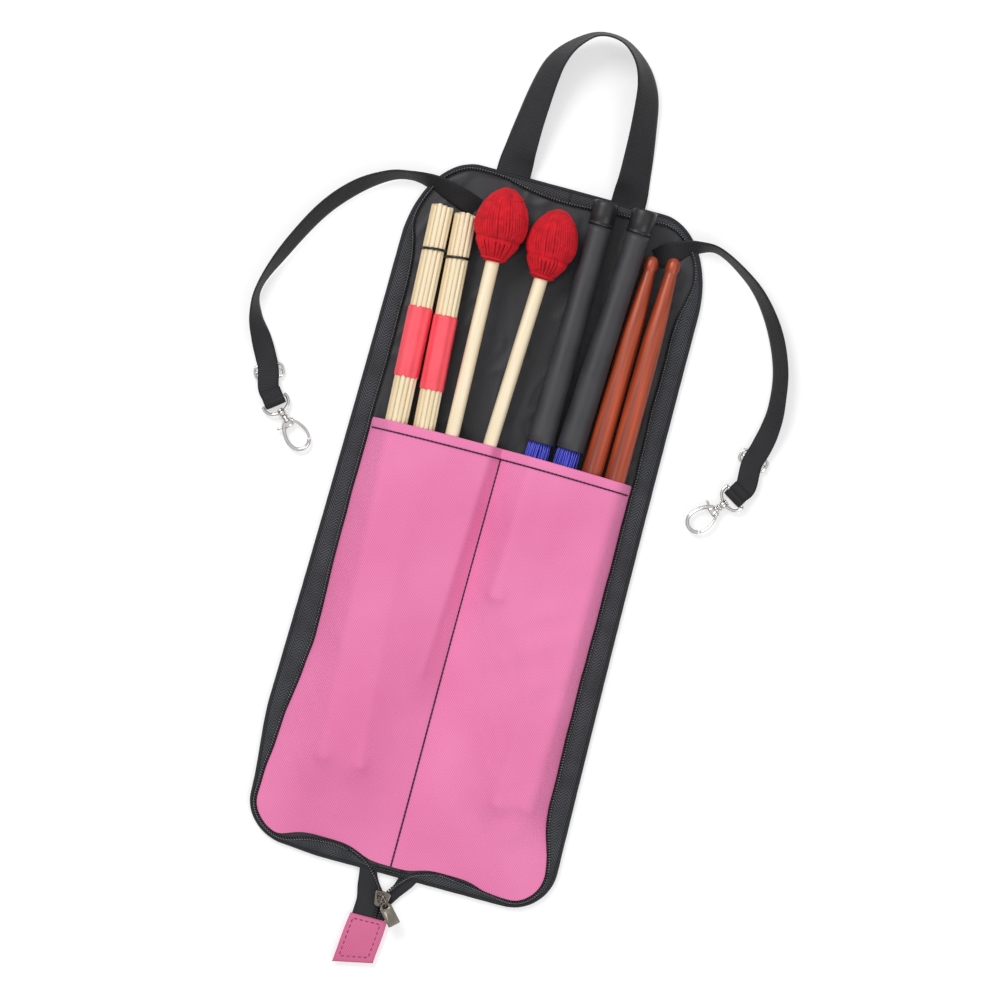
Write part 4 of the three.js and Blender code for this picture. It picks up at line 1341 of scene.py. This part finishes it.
def end_tab():
    """Two layers of pink cloth folded over the end of the zip, with a dashed box of stitches."""
    low, _ = node_box("end_tab")
    corners = np.array([(-19, -286), (8, -285.8), (6, -317), (-23, -323)], float)
    corners += [low[0] + 23, 0]
    rows, columns = 33, 27
    s = np.linspace(0, 1, rows)[:, None, None]
    t = np.linspace(0, 1, columns)[None, :, None]
    left = corners[0] * (1 - s) + corners[3] * s
    right = corners[1] * (1 - s) + corners[2] * s
    plan = left * (1 - t) + right * t
    plan[..., 0] += 0.5 * np.sin(s[..., 0] * 5) * (t[..., 0] - 0.5)
    rim = np.minimum(np.minimum(s, 1 - s)[..., 0] * 33, np.minimum(t, 1 - t)[..., 0] * 27)
    plump = 1.35 * np.sqrt(np.clip(rim / 2.2, 0.04, 1)) - 0.45 * np.exp(-(((rim - 3.4) / 1.0) ** 2))
    plump += 0.25 * wobble_field(plan[..., 0], plan[..., 1], 9, 12, 41) * ease(rim, 3, 7)
    middle = 3.2 + 0.4 * np.sin(s[..., 0] * 3.0)
    top = np.dstack([plan, middle + plump])
    bottom = np.dstack([plan, middle - plump])
    piece = slab("end_tab_cloth", top[:, ::-1], bottom[:, ::-1], PINK_TAB, plan[:, ::-1])
    dress(piece, "pink_fabric", "end_tab", body="half_right")
    inset = [(0.11, 0.13), (0.11, 0.87), (0.9, 0.87), (0.9, 0.13), (0.11, 0.13)]
    path = [top[int(a * (rows - 1)), int(b * (columns - 1))] for a, b in inset]
    path, _ = even(path, 1.0)
    path[:, 2] = 4.35 + 0.4 * np.sin((corners[0][1] - path[:, 1]) / 33 * 3.0)
    seam = stitches("end_tab_stitches", path, upright(len(path)), 4.1, 2.7, 0.75, TAB_THREAD)
    dress(seam, "pink_fabric", body="half_right")


# ---- the load -----------------------------------------------------------------------------------

DOWEL_RADIUS = 1.72
SLEEVE_RADIUS, FACETS, FACET_DEPTH = 8.62, 8, 0.34
BAND_RADIUS = 8.5


def rod(word):
    """Bundle of bamboo dowels with domed, uneven ends, held by a sleeve and a thin band."""
    load = LOADS[f"rod_{word}"]
    draw = random.Random(40 + int(word))
    rings = [(0, 1), (3.3, 6), (6.5, 12)]
    parts, uvs, index = [], [], 0
    for ring_radius, count in rings:
        for k in range(count):
            angle = 2 * math.pi * k / count + 0.26 * (count > 6)
            cx, cz = ring_radius * math.cos(angle), ring_radius * math.sin(angle)
            tip = load.length - draw.uniform(0.0, 1.8)
            r = DOWEL_RADIUS * draw.uniform(0.97, 1.01)
            profile = [(0.4, 0), (r * 0.8, 0.4), (r, 1.4)]
            profile += [(r, y) for y in np.linspace(14, tip - 3, 22)]
            profile += [(r, tip - 1.2), (r * 0.86, tip - 0.5), (r * 0.55, tip - 0.12), (0.2, tip)]
            bow = 0.14 * math.sin(draw.uniform(0, 6))
            path = [(cx + bow * math.sin(y / 60), y, cz) for _, y in profile]
            sizes = np.array([p[0] for p in profile])
            section = circle(1, 12)[None] * sizes[:, None, None]
            count_rings = len(profile)
            parts.append(sweep(path, section, np.tile([1.0, 0, 0], (count_rings, 1)), upright(count_rings)))
            around = np.tile(np.arange(12) * 1.0 + 20 * index, count_rings)
            uvs.append(np.column_stack([around, np.repeat([p[1] for p in path], 12)]))
            index += 1
    vertices, faces = gather(parts)
    faces = [face[::-1] for face in faces]
    dowels = new_piece(f"rod_{word}_dowels", vertices, faces, BAMBOO_BUNDLE, np.concatenate(uvs))
    load.place(dowels, "bamboo", f"rod_{word}_dowels")
    sleeve(load, word, draw)
    band(load, word)


def sleeve(load, word, draw):
    """The grip: a thin red sleeve pulled over the dowels, so that it shows their facets."""
    start, end, _ = load.span(f"rod_{word}_grip")
    sides, rows = 72, 40
    angles = turns(sides)
    facets = SLEEVE_RADIUS + FACET_DEPTH * np.cos(FACETS * angles + draw.uniform(0, 3))
    ys = np.linspace(start, end, rows)
    rings = []
    for y in ys:
        rim = min(y - start, end - y)
        waver = np.array([0.12 * wobble(a * 6, y, 0, 5, 50) for a in angles])
        rings.append(around_y(facets - 0.35 * math.exp(-rim / 0.5) + waver, angles, y))
    inner = [ring_ * [0.955, 1, 0.955] for ring_ in (rings[-1], rings[0])]
    rings = rings + inner + [rings[0]]
    faces = [face[::-1] for face in grid_faces(len(rings), sides, close=True)]
    along = np.repeat([ring_[0, 1] for ring_ in rings], sides)
    uvs = np.column_stack([np.tile(angles * 9, len(rings)), along])
    piece = new_piece(f"rod_{word}_sleeve", np.concatenate(rings), faces, RED_GRIP, uvs)
    load.place(piece, "red_grip", f"rod_{word}_grip")


def band(load, word):
    """A thin rubber ring, slightly askew, that holds the free ends of the dowels together."""
    start, end, _ = load.span(f"rod_{word}_band")
    angles = np.linspace(0, 2 * math.pi, 48, endpoint=False)
    path = around_y(BAND_RADIUS, angles, (start + end) / 2 + 0.6 * np.sin(angles + 1))
    piece = wire(f"rod_{word}_band", path, 0.95, BAND_RUBBER, closed=True, sides=10)
    load.place(piece, "black_rubber", f"rod_{word}_band")


def mallet(word):
    """A birch shaft with a head wound in yarn."""
    load = LOADS[f"mallet_{word}"]
    top = load.length
    straight = [(5.0, y) for y in np.linspace(8, top - 6, 30)]
    profile = [(3.9, 0), (4.7, 0.5), (5.0, 1.5)] + straight + [(4.6, top)]
    shaft = lathe(f"mallet_{word}_shaft", profile, BIRCH, 28)
    load.place(shaft, "birch", f"mallet_{word}_shaft")
    low, high, radius = load.span(f"mallet_{word}_head")
    yarn_head(load, word, low, high, radius)


def egg(share, radius):
    """Radius of a mallet head at a share of its height: fullest at the middle, drawn in to the neck."""
    full = 0.48
    up = np.clip((share - full) / (1 - full), 0, 1)
    down = np.clip((full - share) / full, 0, 1)
    upper = np.clip(1 - up**1.9, 0, 1) ** 0.62
    lower = 1 - 0.66 * down**1.57
    return radius * np.where(share > full, upper, lower)


BELT = 0.29
STRANDS = 54
GATHERED_STRANDS = 30
# Turns of yarn round the head: share of its height, tilt, lift and thickness
TURNS = ((BELT, 0.012, -0.75, 0.9), (0.87, 0.035, 0.25, 0.85), (0.045, 0.005, 0.4, 1.1))


def yarn_head(load, word, low, high, radius):
    """A core wound with yarn from pole to pole, gathered under a belt above the neck."""
    height = high - low
    draw = random.Random(70 + int(word))
    core = [(max(float(egg(s, radius - 1.9)), 0.3), low + s * (height - 1.6) + 0.6)
            for s in np.linspace(0, 1, 48)]
    piece = lathe(f"mallet_{word}_core", core, YARN, 40)
    load.place(piece, "yarn")
    parts = []

    def strand_at(turn, drift, start, end, size, lift, steps):
        share = np.linspace(start, end, steps)
        theta = turn + drift * np.sin(np.pi * (share - 0.5))
        waist = 1.1 * np.exp(-(((share - BELT) / 0.03) ** 2))
        body = np.maximum(egg(share, radius - 1.1) + lift - waist, 0.5)
        path = around_y(body, theta, low + 0.6 + share * (height - 1.2))
        room = np.clip(body / (radius * 0.8), 0.3, 1)
        section = circle(1, 7)[None] * (size * room)[:, None, None]
        side = np.column_stack([-np.sin(theta), np.zeros(steps), np.cos(theta)])
        parts.append(sweep(path, section, side, around_y(1, theta, 0)))

    for k in range(STRANDS):
        turn = 2 * math.pi * (k + draw.uniform(-0.12, 0.12)) / STRANDS
        strand_at(turn, 0.16, BELT - 0.04, 0.985, 1.12, draw.uniform(-0.15, 0.15), 44)
    for k in range(GATHERED_STRANDS):
        turn = 2 * math.pi * (k + draw.uniform(-0.2, 0.2)) / GATHERED_STRANDS
        strand_at(turn, 0.25, 0.0, BELT + 0.01, 1.5, 0.15, 18)
    theta = np.linspace(0, 2 * math.pi, 64, endpoint=False)
    for share, tilt, lift, size in TURNS:
        wave = share + tilt * np.sin(theta + 2 + int(word))
        body = egg(wave, radius - 0.9) + lift
        path = around_y(body, theta, low + 0.6 + wave * (height - 1.2))
        parts.append(sweep(path, circle(size, 7), closed=True))
    wound = new_piece(f"mallet_{word}_yarn", *gather(parts), YARN)
    load.place(wound, "yarn", f"mallet_{word}_head")


def brush(word):
    """A brush in its rubber tube: the slightly tapered tube, the end cap and the wires."""
    load = LOADS[f"brush_{word}"]
    tube_start, _, tube_radius = load.span(f"brush_{word}_tube")
    cap_start, cap_end, cap_radius = load.span(f"brush_{word}_cap")
    upper = cap_radius - 0.75
    ys = np.linspace(tube_start + 7, cap_start - 0.2, 40)
    profile = [(tube_radius - less, tube_start + rise) for less, rise in ((1.4, 0), (0.4, 0.2), (0, 0.8))]
    for y in ys:
        share = (y - ys[0]) / (ys[-1] - ys[0])
        slight = 0.12 * wobble(0, y, 3 * int(word), 16, 61)
        profile.append((tube_radius - 0.2 - (tube_radius - 0.2 - upper) * ease(share, 0.0, 0.9) + slight, y))
    tube = lathe(f"brush_{word}_tube", profile, TUBE_RUBBER, 40)
    cap = cap_profile(cap_start, cap_end, cap_radius)
    cap_piece = lathe(f"brush_{word}_cap", cap, CAP_RUBBER, 40)
    fan = bristles(load, word, tube_start)
    load.place(tube, "grey_rubber", f"brush_{word}_tube")
    load.place(cap_piece, "black_rubber", f"brush_{word}_cap")
    load.place(fan, "blue_bristle", f"brush_{word}_bristles")


def cap_profile(start, end, radius):
    """End cap: a plain collar, a groove, and a slightly flared head with a dished end."""
    collar = [(1.2, 0), (0.3, 0.15), (0.05, 0.7), (0.1, 1.8), (0.45, 2.1), (0.5, 2.6),
              (0.25, 3.0), (0.15, 8)]
    head = [(0, 4.5), (0, 1.6), (0.35, 0.5), (1.2, 0), (2.6, 0.05), (3.4, 0.7), (radius - 0.4, 0.9)]
    return [(radius - less, start + rise) for less, rise in collar] + [
        (radius - less, end - fall) for less, fall in head]


BRISTLE_COUNT = 110
BRISTLE_RADIUS = 0.55
GOLDEN_ANGLE = 2.399963


def bristles(load, word, tube_start):
    """Blue wires that spread from the end of the tube towards the foot of the pocket."""
    draw = random.Random(90 + int(word))
    fan_radius = load.span(f"brush_{word}_bristles")[2]
    parts = []
    for k in range(BRISTLE_COUNT):
        angle = k * GOLDEN_ANGLE
        reach = math.sqrt((k + 0.5) / BRISTLE_COUNT)
        near, far = reach * (fan_radius - 0.6), reach * (fan_radius - 1.6)
        turn = draw.uniform(-0.12, 0.12)
        ys = np.array([tube_start + 4, tube_start - 6, tube_start - 30, draw.uniform(0, 6)])
        radii = np.array([near * 0.88, near * 0.97, near, far])
        path = around_y(radii, angle + turn * np.arange(4), ys)
        parts.append(sweep(path, circle(BRISTLE_RADIUS, 6)))
    return new_piece(f"brush_{word}_bristles", *gather(parts), BRISTLE)


def drumstick(word):
    """A turned stick: a rounded butt, a long taper, a neck and a small tip."""
    load = LOADS[f"drumstick_{word}"]
    top, body = load.length, load.span(f"stick_{word}")[2]
    shares = [
        (0.985, 90), (0.97, 74), (0.93, 58), (0.87, 46), (0.79, 36), (0.71, 26), (0.64, 18), (0.6, 14),
        (0.575, 11.8), (0.59, 10.6), (0.65, 9.2), (0.685, 7.6), (0.68, 6), (0.645, 4), (0.56, 2.3),
        (0.4, 1), (0.2, 0.3), (0.03, 0),
    ]
    tip = smooth_path([(body * share, y) for share, y in shares], 90)
    butt = smooth_path([(0.3, 0), (body * 0.45, 0.5), (body * 0.8, 2.4), (body * 0.95, 5), (body, 9)], 16)
    shaft = [(body, y) for y in np.linspace(12, top - 96, 40)]
    profile = np.concatenate([butt, shaft, np.column_stack([tip[:, 0], top - tip[:, 1]])])
    piece = lathe(f"stick_{word}", profile, ROSEWOOD, 36)
    load.place(piece, "rosewood", f"stick_{word}")


# ---- stage --------------------------------------------------------------------------------------

CAMERA_TARGET = (7.8, 25.5)
CAMERA_TURN = 15.1
CAMERA_HEIGHT = 2700
VIEW_WIDTH = 715
SENSOR_WIDTH = 36
FLOOR_SIZE, FLOOR_Z = 3000, -0.6


def floor():
    """A pale table, large enough to fill the view."""
    m = Nodes("pale_floor", 0.9)
    cloud = m.noise(3, 2)
    m.color(m.mix(cloud, (0.5, 0.5, 0.5, 1), (0.54, 0.54, 0.54, 1)))
    m.shader.inputs["Emission Color"].default_value = (1, 1, 1, 1)
    m.shader.inputs["Emission Strength"].default_value = 0.5
    corners = [(x * FLOOR_SIZE, y * FLOOR_SIZE, FLOOR_Z) for x, y in ((-1, -1), (1, -1), (1, 1), (-1, 1))]
    piece = new_piece("floor", corners, [(0, 1, 2, 3)], m.material)


def area_light(name, place, size, power):
    """A round lamp, aimed at the origin."""
    data = bpy.data.lights.new(name, "AREA")
    data.shape = "DISK"
    data.size = size * MM
    data.energy = power
    light = bpy.data.objects.new(name, data)
    light.location = Vector(place) * MM
    light.rotation_euler = (-light.location).to_track_quat("-Z", "Y").to_euler()
    bpy.context.scene.collection.objects.link(light)


def lights():
    """A pale sky that is darker near the horizon, and two soft lamps."""
    world = bpy.data.worlds.new("studio")
    world.use_nodes = True
    tree = world.node_tree
    place = tree.nodes.new("ShaderNodeTexCoord")
    split = tree.nodes.new("ShaderNodeSeparateXYZ")
    ramp = tree.nodes.new("ShaderNodeValToRGB")
    tree.links.new(place.outputs["Generated"], split.inputs[0])
    tree.links.new(split.outputs["Z"], ramp.inputs[0])
    tree.links.new(ramp.outputs[0], tree.nodes["Background"].inputs[0])
    stops = ((0.12, (0.16, 0.16, 0.17, 1)), (0.75, (1, 1, 1, 1)))
    for element, (position, color) in zip(ramp.color_ramp.elements, stops):
        element.position = position
        element.color = color
    tree.nodes["Background"].inputs[1].default_value = 0.78
    bpy.context.scene.world = world
    area_light("key", (-900, 900, 1500), 800, 17)
    area_light("fill", (1100, -700, 1400), 1100, 7)


def camera():
    """Looks straight down from high above, turned so that the bag lies as in the photo."""
    data = bpy.data.cameras.new("camera")
    data.sensor_width = SENSOR_WIDTH
    data.lens = SENSOR_WIDTH * CAMERA_HEIGHT / VIEW_WIDTH
    data.clip_end = 50
    piece = bpy.data.objects.new("camera", data)
    piece.location = Vector((*CAMERA_TARGET, CAMERA_HEIGHT)) * MM
    piece.rotation_euler = (0, 0, math.radians(CAMERA_TURN))
    bpy.context.scene.collection.objects.link(piece)
    bpy.context.scene.camera = piece
    bpy.context.scene.view_settings.view_transform = "Standard"


# ---- build --------------------------------------------------------------------------------------

cover()
binding()
lining()
zip_tape()
zip_teeth()
zip_tail()
tail_tapes()
pocket()
handle()
for word in ("left", "right"):
    strap(word)
    strap_end(word)
    adjuster(word)
    swivel_ring(word)
    snap_hook(word)
slider()
pull()
end_tab()
for word in ("1", "2"):
    rod(word)
    mallet(word)
    brush(word)
    drumstick(word)
floor()
lights()
camera()
